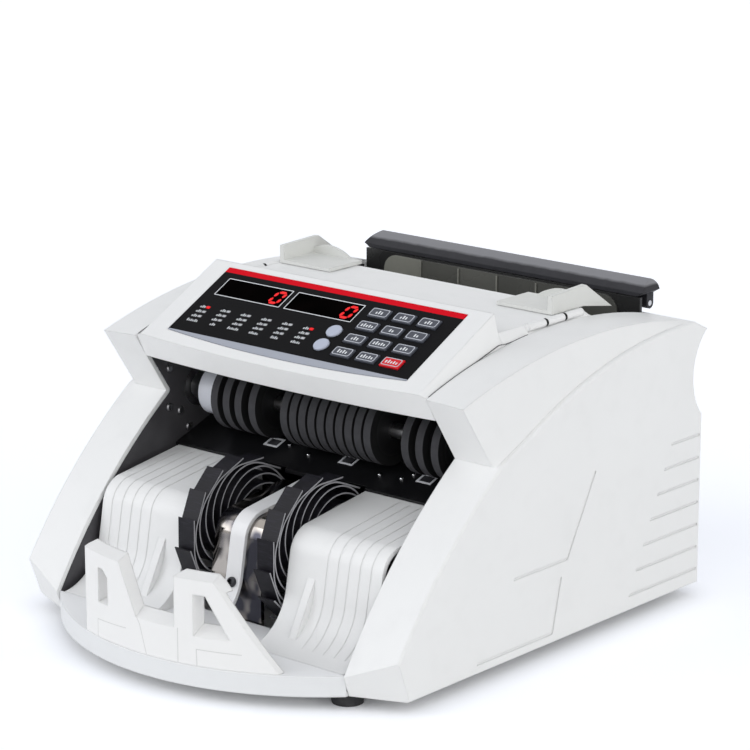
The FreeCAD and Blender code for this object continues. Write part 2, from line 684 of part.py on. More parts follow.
def key_places():
    """Row, column and centre of each rectangular key, from the lower left."""
    for row in range(KEY_ROWS):
        for column in range(KEY_COLUMNS):
            yield row, column, KEY_FIRST_X + column * KEY_PITCH_X, KEY_FIRST_RISE + row * KEY_PITCH_RISE


def round_key_places():
    """Centre of each round key."""
    return [(ROUND_KEY_X, ROUND_KEY_LOW_RISE + index * ROUND_KEY_PITCH) for index in range(2)]


def display_places():
    """Centre of each display."""
    return [(DISPLAY_FIRST_X + index * DISPLAY_PITCH, DISPLAY_RISE) for index in range(2)]


def lamp_places():
    """Centre of each mode lamp."""
    return [(LAMP_FIRST_X + column * LAMP_PITCH_X, LAMP_FIRST_RISE + row * LAMP_PITCH_RISE)
            for column in range(LAMP_COLUMNS) for row in range(LAMP_ROWS)]


def control_panel():
    """Overlay plate with openings for the keys, displays and lamps."""
    low, high = -PANEL_POCKET, PANEL_THICK - PANEL_POCKET
    holes = [panel_block(x, rise, KEY_WIDTH + 2 * KEY_GAP, KEY_LENGTH + 2 * KEY_GAP, low - 1, high + 1)
             for _, _, x, rise in key_places()]
    holes += [panel_disc(x, rise, ROUND_KEY_RADIUS + KEY_GAP, low - 1, high + 1)
              for x, rise in round_key_places()]
    holes += [panel_block(x, rise, DISPLAY_WIDTH, DISPLAY_LENGTH, low - 1, high + 1)
              for x, rise in display_places()]
    holes += [panel_block(x, rise, LAMP_WIDTH, LAMP_LENGTH, low - 1, high + 1) for x, rise in lamp_places()]
    return panel_sheet(0, low, high).cut(holes)


def key_levels():
    """Underside, top of the flange and top of the cap of a key at rest."""
    flange_top = -PANEL_POCKET - REST_GAP
    return flange_top - KEY_FLANGE_THICK, flange_top, PANEL_THICK - PANEL_POCKET + KEY_PROUD


def rectangular_key(x, rise):
    """Cap with softened edges on a flange that the panel holds in."""
    low, flange_top, high = key_levels()
    corner = Vector(x - KEY_WIDTH / 2, rise - KEY_LENGTH / 2, low)
    cap = Part.makeBox(KEY_WIDTH, KEY_LENGTH, high - low, corner)
    rim = [e for e in cap.Edges if all(abs(v.Z - high) < 1e-6 for v in e.Vertexes)]
    cap = cap.makeChamfer(KEY_PROUD / 2, rim)
    width, length = KEY_WIDTH + 2 * KEY_FLANGE, KEY_LENGTH + 2 * KEY_FLANGE
    flange = Part.makeBox(width, length, flange_top - low, Vector(x - width / 2, rise - length / 2, low))
    return on_panel(cap.fuse(flange).removeSplitter())


def round_key(x, rise):
    """Domed round key on its flange."""
    low, flange_top, high = key_levels()
    cap = Part.makeCylinder(ROUND_KEY_RADIUS, high - low, Vector(x, rise, low))
    rim = [e for e in cap.Edges if all(abs(v.Z - high) < 1e-6 for v in e.Vertexes)]
    cap = cap.makeChamfer(KEY_PROUD / 2, rim)
    flange = Part.makeCylinder(ROUND_KEY_RADIUS + KEY_FLANGE, flange_top - low, Vector(x, rise, low))
    return on_panel(cap.fuse(flange).removeSplitter())


def display_windows():
    """The two display units, standing on the board."""
    return Part.makeCompound([panel_block(x, rise, DISPLAY_WIDTH, DISPLAY_LENGTH, -HEAD_WALL, 0)
                              for x, rise in display_places()])


def mode_lamps():
    """Rows of small lamps, standing on the board."""
    high = PANEL_THICK - PANEL_POCKET + PRESS_FIT
    return Part.makeCompound([panel_block(x, rise, LAMP_WIDTH, LAMP_LENGTH, -HEAD_WALL, high)
                              for x, rise in lamp_places()])


def circuit_boards():
    """Key board under the console and main board on the pan's bosses."""
    key_board = panel_block(0, PANEL_LENGTH / 2, PANEL_WIDTH, PANEL_LENGTH - PANEL_MARGIN,
                            -HEAD_WALL - BOARD_THICK, -HEAD_WALL)
    half = MAIN_BOARD_WIDTH / 2
    level = PAN_THICK + BOSS_TALL
    main_board = block(-half, half, MAIN_BOARD_SETBACK, MAIN_BOARD_SETBACK + MAIN_BOARD_LENGTH,
                       level, level + BOARD_THICK)
    return Part.makeCompound([key_board, main_board])


def lip_disc(inset, height0, height1):
    """Upright round slab whose front is the lip's curve, moved in by an inset."""
    return Part.makeCylinder(LIP_RADIUS - inset, height1 - height0, spot(0, LIP_RADIUS, height0))


def lip_area(half, back, height0, height1, inset):
    """Slab between the lip's curve and a straight back edge."""
    return block(-half, half, 0, back, height0, height1).common(lip_disc(inset, height0, height1))


def base_pan():
    """Floor pan with bosses for the main board."""
    front = lip_area(SPAN - WALL - SEAM, APRON_BACK_SETBACK, 0, PAN_THICK, WALL + SEAM)
    floor = block(-SPAN, SPAN, APRON_BACK_SETBACK, BACK - WALL - SEAM, 0, PAN_THICK)
    inset = 2 * BOSS_RADIUS
    bosses = [post(side * (MAIN_BOARD_WIDTH / 2 - inset), setback, 0, PAN_THICK + BOSS_TALL, BOSS_RADIUS)
              for side in (-1, 1)
              for setback in (MAIN_BOARD_SETBACK + inset, MAIN_BOARD_SETBACK + MAIN_BOARD_LENGTH - inset)]
    return joined([front, floor, *bosses])


def front_apron():
    """Rounded front lip and the tray floor behind it, reaching back between the beds."""
    tongue_x = BED_INNER_X - SEAM
    slab = joined([lip_area(SPAN, APRON_BACK_SETBACK, 0, LIP_HEIGHT, 0),
                   block(-tongue_x, tongue_x, APRON_BACK_SETBACK, TONGUE_BACK_SETBACK,
                         LIP_HEIGHT - WALL, LIP_HEIGHT)])
    hollow = lip_area(SPAN - WALL, APRON_BACK_SETBACK + 1, -1, LIP_HEIGHT - WALL, WALL)
    return slab.cut(hollow)


def sensor_height(setback):
    """Height of the sensor plate's upper face, set by the counting discs' lowest reach."""
    clear = (DISC_RADIUS + SENSOR_GAP) / math.cos(math.radians(SENSOR_SLOPE))
    return COUNTING_HEIGHT - clear + (setback - COUNTING_SETBACK) * SENSOR_TAN


def bed_top():
    """Rear top corner of the beds, level with the sensor plate's underside."""
    return BED_REAR_SETBACK, sensor_height(BED_REAR_SETBACK) - SENSOR_THICK / 2


def bed_face():
    """Visible curve of the beds: sloping top, rounded shoulder, upright face, cove onto the floor."""
    return [
        bed_top(),
        (SHOULDER_BACK_SETBACK, SHOULDER_BACK_HEIGHT),
        [(SHOULDER_MID_SETBACK, SHOULDER_MID_HEIGHT), (SHOULDER_FRONT_SETBACK, SHOULDER_FRONT_HEIGHT)],
        (FACE_FOOT_SETBACK, FACE_FOOT_HEIGHT),
        [(COVE_MID_SETBACK, COVE_MID_HEIGHT), (APRON_BACK_SETBACK + SEAM, LIP_HEIGHT)],
    ]


def bed_body(x0, x1, inset):
    """Solid under the bed curve, drawn in by an inset, down to the pan."""
    foot = [(APRON_BACK_SETBACK + SEAM, PAN_THICK), (BED_REAR_SETBACK, PAN_THICK)]
    face = Part.Face(side_wire(x0, *bed_face(), *foot))
    if inset:
        face = face.makeOffset2D(-inset)
    return face.extrude(Vector(x1 - x0, 0, 0))


def right_stacker_bed():
    """Grooved moulded bed that strips the notes off the right impeller, open below and outside."""
    outer = SPAN - WALL
    body = bed_body(BED_INNER_X, outer, 0.0)
    room = bed_body(BED_INNER_X + WALL, outer + 1, WALL)
    reach = block(BED_INNER_X + WALL, outer + 1, FACE_FOOT_SETBACK + WALL, BED_REAR_SETBACK + 1,
                  0, FACE_FOOT_HEIGHT)
    body = body.cut([room, reach, rod(BED_INNER_X - 1, outer + 1, IMPELLER, SHAFT_RADIUS + WALL)])
    space = (outer - FIN_X - FIN_WIDTH) / (BED_GROOVES + 1)
    under = bed_body(BED_INNER_X - 2, outer + 2, BED_GROOVE_DEPTH)
    skin = bed_body(BED_INNER_X - 1, outer + 1, 0.0).cut(under)
    for index in range(BED_GROOVES):
        x = FIN_X + FIN_WIDTH + (index + 1) * space
        strip = block(x - BED_GROOVE_WIDTH / 2, x + BED_GROOVE_WIDTH / 2, APRON_BACK_SETBACK + 4 * WALL,
                      BED_REAR_SETBACK - WALL, LIP_HEIGHT + WALL, COUNTING_HEIGHT)
        body = body.cut(skin.common(strip))
    fin = side_prism(FIN_X, FIN_X + FIN_WIDTH, (SHOULDER_FRONT_SETBACK + WALL / 2, FIN_TOP_HEIGHT),
                     (FIN_TOE_SETBACK, LIP_HEIGHT + WALL / 2), (FACE_FOOT_SETBACK, LIP_HEIGHT + WALL / 2))
    return joined([body, fin.cut(bed_body(FIN_X - 1, FIN_X + FIN_WIDTH + 1, WALL / 2))])


def impeller_sweep(extra):
    """Room that the two impellers need, grown by an extra clearance."""
    half = IMPELLER_WIDTH / 2 + extra
    return both_sides(rod(IMPELLER_X - half, IMPELLER_X + half, IMPELLER, IMPELLER_RADIUS + extra))


def curved_sheet(half, inset, thick, low):
    """Sheet that follows the bed curve at an inset, above a lowest height."""
    sheet = bed_body(-half, half, inset).cut(bed_body(-half - 1, half + 1, inset + thick))
    keep = block(-half, half, SHOULDER_FRONT_SETBACK - 4 * WALL, BED_REAR_SETBACK - 2 * WALL,
                 low, COUNTING_HEIGHT)
    return sheet.common(keep)


def centre_guide_strip():
    """Narrow curved strip between the impellers."""
    return curved_sheet(STRIP_WIDTH / 2, 0.0, STRIP_THICK, STRIP_END_HEIGHT)


def centre_bracket():
    """Bright bent plate behind the strip, standing on the pan."""
    half = BRACKET_WIDTH / 2
    sheet = curved_sheet(half, STRIP_THICK, BRACKET_THICK, FACE_FOOT_HEIGHT)
    front = FACE_FOOT_SETBACK + STRIP_THICK + SEAM
    leg = block(-half, half, front, front + 2 * BRACKET_THICK, PAN_THICK, FACE_FOOT_HEIGHT + BRACKET_THICK)
    return joined([sheet, leg])


def sensor_plate():
    """Black plate under the counting discs, notched for the impellers and recessed for the sensors."""
    front, back = BED_REAR_SETBACK + SEAM, SENSOR_BACK_SETBACK
    top = sensor_height(front), sensor_height(back)
    plate = side_prism(-SPAN, SPAN, (front, top[0] - SENSOR_THICK), (front, top[0]), (back, top[1]),
                       (back, top[1] - SENSOR_THICK))
    plate = plate.cut(impeller_sweep(IMPELLER_CLEAR))
    return plate.cut(sensor_blocks(PRESS_FIT))


def sensor_blocks(grow):
    """The small sensor lenses, grown a little for their seats."""
    half_length = SENSOR_WINDOW_LENGTH / 2 + grow
    front, back = SENSOR_SETBACK - half_length, SENSOR_SETBACK + half_length
    lenses = []
    for index in range(SENSOR_COUNT):
        x = SENSOR_FIRST_X + index * SENSOR_PITCH
        half = SENSOR_WINDOW_WIDTH / 2 + grow
        lenses.append(side_prism(
            x - half, x + half,
            (front, sensor_height(front) - SENSOR_THICK / 2), (front, sensor_height(front)),
            (back, sensor_height(back)), (back, sensor_height(back) - SENSOR_THICK / 2)))
    return lenses


def stop_slab(start, *legs):
    """Upright slab through the lip with an outline across the machine."""
    return front_prism(-1, LIP_RADIUS, start, *legs)


def stop_crown():
    """Space under the horns' tops, which fall towards the lip's edge."""
    back = LIP_RADIUS - STOP_INSET - STOP_THICK
    tall = STOP_TOP_HEIGHT - LIP_HEIGHT
    spread = tall * STOP_THICK / STOP_CROWN_DROP
    return Part.makeCone(back + spread, back, tall, spot(0, LIP_RADIUS, LIP_HEIGHT)).fuse(
        lip_disc(STOP_INSET + STOP_THICK, LIP_HEIGHT, STOP_TOP_HEIGHT))


def stop_ramp(low, high):
    """Solid about the lip's axis whose round side rises from the stop's front to its rear."""
    front = LIP_RADIUS - STOP_INSET
    return Part.makeCone(front, front - STOP_THICK, high - low, spot(0, LIP_RADIUS, low))


def stop_sill(left, right, spread, fall):
    """Room in front of a window's sill, which falls towards the front."""
    low = WINDOW_RISE - fall
    slab = stop_slab((left, low), (left, WINDOW_RISE), (right, WINDOW_RISE), (right + spread * fall, low))
    return slab.cut(stop_ramp(low, WINDOW_RISE))


def stop_valley():
    """Sloping floor between the horns."""
    low, high = STOP_VALLEY_HEIGHT, STOP_VALLEY_HEIGHT + STOP_VALLEY_RISE
    right = STOP_VALLEY_RIGHT_X + STOP_EDGE
    slab = stop_slab((STOP_LEFT_TOP_X, low), (STOP_LEFT_TOP_X, high), (right, high), (right, low))
    return slab.common(stop_ramp(low, high))


def stop_pocket():
    """What is hollow behind the long right slope."""
    top = STOP_TOP_HEIGHT - STOP_RIM
    run = (STOP_RIGHT_X - STOP_RIGHT_TOP_X) / (STOP_TOP_HEIGHT - STOP_CORNER - LIP_HEIGHT)
    top_x = STOP_RIGHT_X - (top - LIP_HEIGHT) * run
    slab = stop_slab((STOP_RIGHT_X - STOP_RIM, LIP_HEIGHT), (top_x - STOP_RIM, top), (top_x + STOP_RIM, top),
                     (STOP_RIGHT_X + STOP_RIM, LIP_HEIGHT))
    return slab.common(lip_disc(STOP_INSET + STOP_WEB, LIP_HEIGHT, top))


def front_note_stop():
    """Two-horned stop on the lip that holds the stacked notes, with a window in each horn."""
    floor, top = LIP_HEIGHT, STOP_TOP_HEIGHT
    sill, head = WINDOW_RISE, WINDOW_RISE + WINDOW_TALL
    body = stop_slab(
        (STOP_LEFT_X, floor), (STOP_LEFT_X, top - STOP_EDGE), (STOP_LEFT_X + STOP_EDGE, top),
        (STOP_LEFT_TOP_X, top), (STOP_VALLEY_LEFT_X, STOP_VALLEY_HEIGHT),
        (STOP_VALLEY_RIGHT_X, STOP_VALLEY_HEIGHT),
        (STOP_VALLEY_RIGHT_X, top - STOP_EDGE), (STOP_VALLEY_RIGHT_X + STOP_EDGE, top),
        (STOP_RIGHT_TOP_X - STOP_CORNER, top), (STOP_RIGHT_TOP_X, top - STOP_CORNER), (STOP_RIGHT_X, floor))
    left_end = LEFT_WINDOW_X + LEFT_WINDOW_WIDTH
    left = stop_slab((LEFT_WINDOW_X, sill), (LEFT_WINDOW_X, head),
                     (LEFT_WINDOW_X + LEFT_WINDOW_WIDTH / 2, head),
                     (left_end, head - STOP_CORNER), (left_end, sill))
    right_end = RIGHT_WINDOW_X + RIGHT_WINDOW_BASE_WIDTH
    right = stop_slab((RIGHT_WINDOW_X, sill), (RIGHT_WINDOW_X, head),
                      (RIGHT_WINDOW_X + RIGHT_WINDOW_TOP_WIDTH, head), (right_end, sill))
    spread = (RIGHT_WINDOW_BASE_WIDTH - RIGHT_WINDOW_TOP_WIDTH) / WINDOW_TALL
    sills = [stop_sill(LEFT_WINDOW_X, left_end, 0, LEFT_SILL_FALL),
             stop_sill(RIGHT_WINDOW_X, right_end, spread, RIGHT_SILL_FALL)]
    shell = lip_disc(STOP_INSET, floor, top).cut(lip_disc(STOP_INSET + STOP_THICK, floor - 1, top + 1))
    body = body.fuse(stop_valley()).cut([left, right, stop_pocket(), *sills])
    return body.common(shell).common(stop_crown())


def shaft_length():
    """How far a shaft with pulleys reaches past the middle."""
    return SECOND_PULLEY_X + PULLEY_WIDTH


def counting_disc_places():
    """Centres of the rubber discs along the counting shaft."""
    first = DISC_MIDDLE_OFFSET - (DISC_MIDDLE_COUNT - 1) * DISC_MIDDLE_PITCH / 2
    middle = [first + index * DISC_MIDDLE_PITCH for index in range(DISC_MIDDLE_COUNT)]
    left = [inset - INNER for inset in DISC_LEFT_INSETS]
    return left + middle + [INNER - inset for inset in DISC_RIGHT_INSETS]


def counting_discs():
    """Rubber discs pressed on the counting shaft."""
    half = DISC_WIDTH / 2
    return Part.makeCompound([ring(x - half, x + half, COUNTING, DISC_RADIUS, SHAFT_RADIUS + PRESS_FIT)
                              for x in counting_disc_places()])


def white_roller():
    """Plain white idler at the left end of the counting shaft."""
    half = WHITE_ROLLER_WIDTH / 2
    return ring(WHITE_ROLLER_X - half, WHITE_ROLLER_X + half, COUNTING,
                WHITE_ROLLER_RADIUS, SHAFT_RADIUS + PRESS_FIT)


def pulley(x, axle, radius, bore):
    """Flanged belt pulley whose belt track starts at X = x."""
    flange = PULLEY_SPACE / 3
    track = rod(x - flange, x + PULLEY_WIDTH + flange, axle, radius)
    ends = [rod(x - flange, x, axle, radius + PULLEY_FLANGE),
            rod(x + PULLEY_WIDTH, x + PULLEY_WIDTH + flange, axle, radius + PULLEY_FLANGE)]
    return joined([track, *ends]).cut(rod(x - 1, x + PULLEY_WIDTH + 1, axle, bore))


def counting_pulley():
    """Pulleys on the counting shaft: driven by the motor, driving the impellers and the feed."""
    bore = SHAFT_RADIUS + PRESS_FIT
    return Part.makeCompound([
        pulley(RIGHT_PULLEY_X, COUNTING, COUNTING_DRIVEN_RADIUS, bore),
        pulley(SECOND_PULLEY_X, COUNTING, COUNTING_DRIVER_RADIUS, bore),
        pulley(-RIGHT_PULLEY_X - PULLEY_WIDTH, COUNTING, COUNTING_FEED_RADIUS, bore)])


def feed_rollers():
    """Broad rubber rollers that pull notes off the pile."""
    half = FEED_WIDTH / 2
    roller = ring(FEED_X - half, FEED_X + half, FEED, FEED_RADIUS, SHAFT_RADIUS + PRESS_FIT)
    return Part.makeCompound(both_sides(roller))


def polar(axle, radius, degrees):
    """Setback and height at an angle round an axle, counted from the rear and upwards."""
    angle = math.radians(degrees)
    return axle[0] + radius * math.cos(angle), axle[1] + radius * math.sin(angle)


def blade(x0, x1, angle, grow):
    """One thin trailing blade, a straight leaf curving in to the hub, grown for its seat."""
    stations = ((IMPELLER_RADIUS, 0), (LEAF_RADIUS, LEAF_SWEEP), (BLADE_MID_RADIUS, BLADE_MID_SWEEP),
                (IMPELLER_HUB - BLADE_THICK, BLADE_SWEEP + math.degrees(grow / IMPELLER_HUB)))
    tip, leaf, middle, root = [polar(IMPELLER, radius + grow, angle + turn) for radius, turn in stations]
    thick = BLADE_THICK + grow
    in_tip, in_leaf, in_middle, in_root = [
        polar(IMPELLER, radius - thick, angle + turn) for radius, turn in stations]
    return side_prism(x0, x1, tip, leaf, [middle, root], in_root, [in_middle, in_leaf], in_tip)


def impeller(x):
    """Stacker wheel: a hub with thin spiral blades pressed into its slots."""
    x0, x1 = x - IMPELLER_WIDTH / 2, x + IMPELLER_WIDTH / 2
    angles = [index * 360 / BLADE_COUNT for index in range(BLADE_COUNT)]
    slots = [blade(x0 - 1, x1 + 1, angle, PRESS_FIT) for angle in angles]
    hub = ring(x0, x1, IMPELLER, IMPELLER_HUB, SHAFT_RADIUS + PRESS_FIT).cut(slots)
    return Part.makeCompound([hub, *(blade(x0, x1, angle, 0.0) for angle in angles)])


def motor_pulley():
    """Motor shaft with its pulley."""
    shaft = rod(INNER - MOTOR_LENGTH / 2, RIGHT_PULLEY_X + PULLEY_WIDTH, MOTOR, MOTOR_SHAFT_RADIUS)
    return joined([shaft, pulley(RIGHT_PULLEY_X, MOTOR, MOTOR_PULLEY_RADIUS, MOTOR_SHAFT_RADIUS / 2)])


def drive_motor():
    """Motor can bolted to the right frame plate, with its end bell."""
    can = rod(INNER - MOTOR_LENGTH, INNER - 2 * WALL, MOTOR, MOTOR_RADIUS)
    bell = rod(INNER - 2 * WALL, INNER, MOTOR, MOTOR_RADIUS - WALL)
    bore = rod(INNER - MOTOR_LENGTH / 2 - SEAM, INNER + 1, MOTOR, MOTOR_SHAFT_RADIUS + SHAFT_FIT)
    return joined([can, bell]).cut(bore)


def shaft_bearings():
    """A bearing at each end of the three shafts, seated in the frame plates."""
    bearings = []
    for axle in (COUNTING, IMPELLER, FEED):
        bearing = ring(INNER, INNER + BEARING_WIDTH, axle, BEARING_RADIUS, SHAFT_RADIUS + SHAFT_FIT)
        bearings += both_sides(bearing)
    return Part.makeCompound(bearings)


def belt_face(x, first, first_radius, second, second_radius):
    """Face inside a belt loop round two pulleys."""
    run = math.hypot(second[0] - first[0], second[1] - first[1])
    heading = math.degrees(math.atan2(second[1] - first[1], second[0] - first[0]))
    spread = math.degrees(math.acos((first_radius - second_radius) / run))
    return Part.Face(side_wire(
        x, polar(first, first_radius, heading - spread),
        polar(second, second_radius, heading - spread),
        [polar(second, second_radius, heading), polar(second, second_radius, heading + spread)],
        polar(first, first_radius, heading + spread),
        [polar(first, first_radius, heading + 180), polar(first, first_radius, heading - spread)]))


def belt(x, first, first_radius, second, second_radius):
    """Flat belt round two pulleys, just clear of them."""
    inside = BELT_GAP
    outside = BELT_GAP + BELT_THICK
    width = Vector(PULLEY_WIDTH - 2 * BELT_GAP, 0, 0)
    start = x + BELT_GAP
    outer = belt_face(start, first, first_radius + outside, second, second_radius + outside).extrude(width)
    room = belt_face(start, first, first_radius + inside, second, second_radius + inside)
    return outer.cut(room.extrude(width))


def drive_belts():
    """Belts from the motor to the counting shaft, and on to the impellers and the feed."""
    return Part.makeCompound([
        belt(RIGHT_PULLEY_X, MOTOR, MOTOR_PULLEY_RADIUS, COUNTING, COUNTING_DRIVEN_RADIUS),
        belt(SECOND_PULLEY_X, COUNTING, COUNTING_DRIVER_RADIUS, IMPELLER, IMPELLER_PULLEY_RADIUS),
        belt(-RIGHT_PULLEY_X - PULLEY_WIDTH, COUNTING, COUNTING_FEED_RADIUS, FEED, FEED_PULLEY_RADIUS)])


def tie_rods():
    """Round spacers that hold the two frame plates apart."""
    return Part.makeCompound([rod(-INNER, INNER, place, ROD_RADIUS) for place in RODS])


def frame_screws():
    """Domed screw heads on the inner faces of the frame plates."""
    heads = []
    for inset, height in ((COVER_SCREW_INSET, NOTCH_HEIGHT + COVER_SCREW_RISE), *SCREW_PLACES):
        head = rod(INNER - SCREW_HEAD, INNER, (NOTCH_SETBACK + inset, height), SCREW_RADIUS)
        rim = [e for e in head.Edges if all(abs(v.X - INNER + SCREW_HEAD) < 1e-6 for v in e.Vertexes)]
        heads += both_sides(head.makeChamfer(SCREW_HEAD / 2, rim))
    return Part.makeCompound(heads)


def hopper_floor():
    """Bent plate from the hopper's back down the feed slope, with windows for the feed rollers."""
    bend = (SLOPE_TOP_SETBACK, SLOPE_TOP_HEIGHT)
    end = (SLOPE_END_SETBACK, SLOPE_END_HEIGHT)
    under = [(place[0], place[1] - FLOOR_THICK) for place in (end, bend, FLOOR_REAR)]
    plate = side_prism(-SPAN, SPAN, FLOOR_REAR, bend, end, *under)
    half = FEED_WIDTH / 2 + SEAM * 3
    windows = both_sides(rod(FEED_X - half, FEED_X + half, FEED, FEED_RADIUS + SEAM * 3))
    return plate.cut(windows + [rod(-INNER, INNER, place, ROD_RADIUS + SEAM) for place in RODS])


def hopper_back_plate():
    """Plate across the hopper's back, with a raised and ribbed field, on which the support lies."""
    half = INNER - BACK_PLATE_INSET
    face, floor = FLOOR_REAR
    top = SUPPORT_LOW - REST_GAP
    plate = block(-half, half, face, face + BACK_PLATE_THICK, floor - FLOOR_THICK, top)
    edge = INNER - FIELD_INSET
    corner = edge - FIELD_ROUND
    bend = FIELD_ROUND * (1 - math.sqrt(0.5))
    crown = top - FIELD_PROUD
    field = front_prism(
        face - FIELD_PROUD, face + BACK_PLATE_THICK / 2, (-edge, floor), (-edge, crown - FIELD_ROUND),
        [(-edge + bend, crown - bend), (-corner, crown)], (corner, crown),
        [(edge - bend, crown - bend), (edge, crown - FIELD_ROUND)], (edge, floor))
    pitch = 2 * edge / (FIELD_RIBS + 1)
    places = [(index + 1) * pitch - edge for index in range(FIELD_RIBS)]
    front = face - FIELD_PROUD - FIELD_RIB
    ribs = [block(x - FIELD_RIB / 2, x + FIELD_RIB / 2, front, face, floor, crown - FIELD_RIB)
            for x in places]
    return joined([plate, field, *ribs])


def right_note_guide():
    """Upright guide on a sliding foot, with a fin at its rear and a tongue through the deck."""
    base = DECK_HEIGHT + REST_GAP
    outer = GUIDE_X + GUIDE_THICK
    rear = GUIDE_SETBACK + GUIDE_REAR_LENGTH
    heel = GUIDE_SETBACK + GUIDE_FOOT_LENGTH
    plate = side_prism(
        GUIDE_X, outer, (GUIDE_SETBACK, base), (GUIDE_SETBACK, base + GUIDE_RISE),
        (GUIDE_SETBACK + GUIDE_TOP_LENGTH, base + GUIDE_RISE + 1), (rear, base - GUIDE_REAR_DROP),
        (heel, base))
    foot = block(outer - GUIDE_FOOT_WIDTH - GUIDE_THICK, outer, GUIDE_SETBACK, heel,
                 base, base + GUIDE_FOOT_THICK)
    fin_start = GUIDE_X - GUIDE_FOOT_WIDTH + 2 * GUIDE_THICK
    fin_top = base + GUIDE_FOOT_THICK + GUIDE_FIN_RISE
    low = base + GUIDE_FOOT_THICK / 2
    fin_end = GUIDE_X + GUIDE_THICK / 2
    fin = front_prism(heel - GUIDE_FOOT_THICK, heel, (fin_start, low),
                      [((fin_start + GUIDE_X) / 2, fin_top), (fin_end, fin_top - GUIDE_FIN_RISE / 2)],
                      (fin_end, low))
    middle = GUIDE_SETBACK + GUIDE_FOOT_LENGTH / 2
    side = GUIDE_X - TONGUE_INSET
    under = DECK_HEIGHT - HEAD_WALL - REST_GAP
    tongue = block(side - TONGUE_LENGTH, side, middle - TONGUE_WIDTH / 2, middle + TONGUE_WIDTH / 2,
                   under, base)
    keeper = block(side - TONGUE_LENGTH, side, middle - TONGUE_WIDTH / 2 - TONGUE_FOOT,
                   middle + TONGUE_WIDTH / 2 + TONGUE_FOOT, under - TONGUE_FOOT_THICK, under)
    return joined([plate, foot, fin, tongue, keeper])


def rear_cover():
    """Back shell with its top lip, hinge lugs, and cut-outs for the inlet and the switch."""
    front = FLOOR_REAR[0] + BACK_PLATE_THICK + SEAM
    inside = BACK - WALL
    shell = side_prism(-SPAN, SPAN, (BACK, 0.0), (BACK, BACK_HEIGHT), [SCOOP, TIP], TAIL,
                       (front, TAIL_HEIGHT), (front, BACK_HEIGHT), (inside, BACK_HEIGHT - BACK_LEAN),
                       (inside, 0.0))
    near, far = HINGE[0] - HINGE_RADIUS, HINGE[0] + HINGE_RADIUS
    lug = side_prism(LUG_X - LUG_WIDTH / 2, LUG_X + LUG_WIDTH / 2, (near, TIP_HEIGHT), (near, HINGE[1]),
                     [(HINGE[0], HINGE[1] + HINGE_RADIUS), (far, HINGE[1])], (far, TIP_HEIGHT))
    shell = joined([shell, *both_sides(lug)]).cut(rod(-HALF, HALF, HINGE, PIN_RADIUS + PRESS_FIT))
    inlet = block(INLET_X - INLET_WIDTH / 2, INLET_X + INLET_WIDTH / 2, inside - 1, BACK + 1,
                  INLET_HEIGHT - INLET_TALL / 2, INLET_HEIGHT + INLET_TALL / 2)
    half, tall = SWITCH_WIDTH / 2 + SWITCH_GAP, SWITCH_TALL / 2 + SWITCH_GAP
    depth = SWITCH_TALL / 2
    frame = block(SWITCH_X - half - SWITCH_WALL, SWITCH_X + half + SWITCH_WALL, BACK - depth,
                  BACK + SWITCH_WALL, INLET_HEIGHT - tall - SWITCH_WALL, INLET_HEIGHT + tall + SWITCH_WALL)
    well = block(SWITCH_X - half, SWITCH_X + half, BACK - 2 * depth, BACK + DEPTH,
                 INLET_HEIGHT - tall, INLET_HEIGHT + tall)
    pivot = rod(SWITCH_X - half - 2 * SWITCH_WALL, SWITCH_X + half + 2 * SWITCH_WALL, switch_axle(),
                SWITCH_PIVOT_RADIUS + SHAFT_FIT)
    return joined([shell.cut(inlet), frame]).cut([well, pivot])


def switch_axle():
    """Axle on which the power switch rocks."""
    return BACK - SWITCH_WALL, INLET_HEIGHT


def power_switch():
    """Rocker with a shallow valley in its face and two stub pivots."""
    half = SWITCH_WIDTH / 2
    face, side, heel = BACK + SWITCH_WALL, BACK - SWITCH_WALL, BACK - 2 * SWITCH_WALL
    low, high = INLET_HEIGHT - SWITCH_TALL / 2, INLET_HEIGHT + SWITCH_TALL / 2
    body = side_prism(
        SWITCH_X - half, SWITCH_X + half,
        (heel, low + SWITCH_WALL), (side, low + SWITCH_GAP), (face, low + SWITCH_GAP),
        (face - SWITCH_WALL / 2, INLET_HEIGHT), (face, high - SWITCH_GAP), (side, high - SWITCH_GAP),
        (heel, high - SWITCH_WALL))
    reach = half + SWITCH_GAP + SWITCH_WALL / 2
    return joined([body, rod(SWITCH_X - reach, SWITCH_X + reach, switch_axle(), SWITCH_PIVOT_RADIUS)])


def power_inlet():
    """Three-pin appliance inlet with its flange on the rear cover."""
    half, tall = INLET_WIDTH / 2, INLET_TALL / 2
    bottom, outside = BACK - INLET_DEPTH, BACK + INLET_FLANGE_THICK
    body = block(INLET_X - half + PRESS_FIT, INLET_X + half - PRESS_FIT, bottom, outside,
                 INLET_HEIGHT - tall + PRESS_FIT, INLET_HEIGHT + tall - PRESS_FIT)
    flange = block(INLET_X - half - INLET_FLANGE, INLET_X + half + INLET_FLANGE, BACK, outside,
                   INLET_HEIGHT - tall - INLET_WALL, INLET_HEIGHT + tall + INLET_WALL)
    well = block(INLET_X - half + INLET_WALL, INLET_X + half - INLET_WALL, bottom + INLET_WALL, outside + 1,
                 INLET_HEIGHT - tall + INLET_WALL, INLET_HEIGHT + tall - INLET_WALL)
    pins = []
    low = INLET_HEIGHT - INLET_PIN_DROP
    for x, height in ((INLET_X - half / 2, low), (INLET_X, INLET_HEIGHT + INLET_EARTH_RISE),
                      (INLET_X + half / 2, low)):
        pins.append(block(x - INLET_PIN_WIDTH / 2, x + INLET_PIN_WIDTH / 2, bottom + INLET_WALL / 2,
                          bottom + INLET_WALL / 2 + INLET_PIN_LENGTH,
                          height - INLET_PIN_TALL / 2, height + INLET_PIN_TALL / 2))
    return joined([joined([body, flange]).cut(well), *pins])


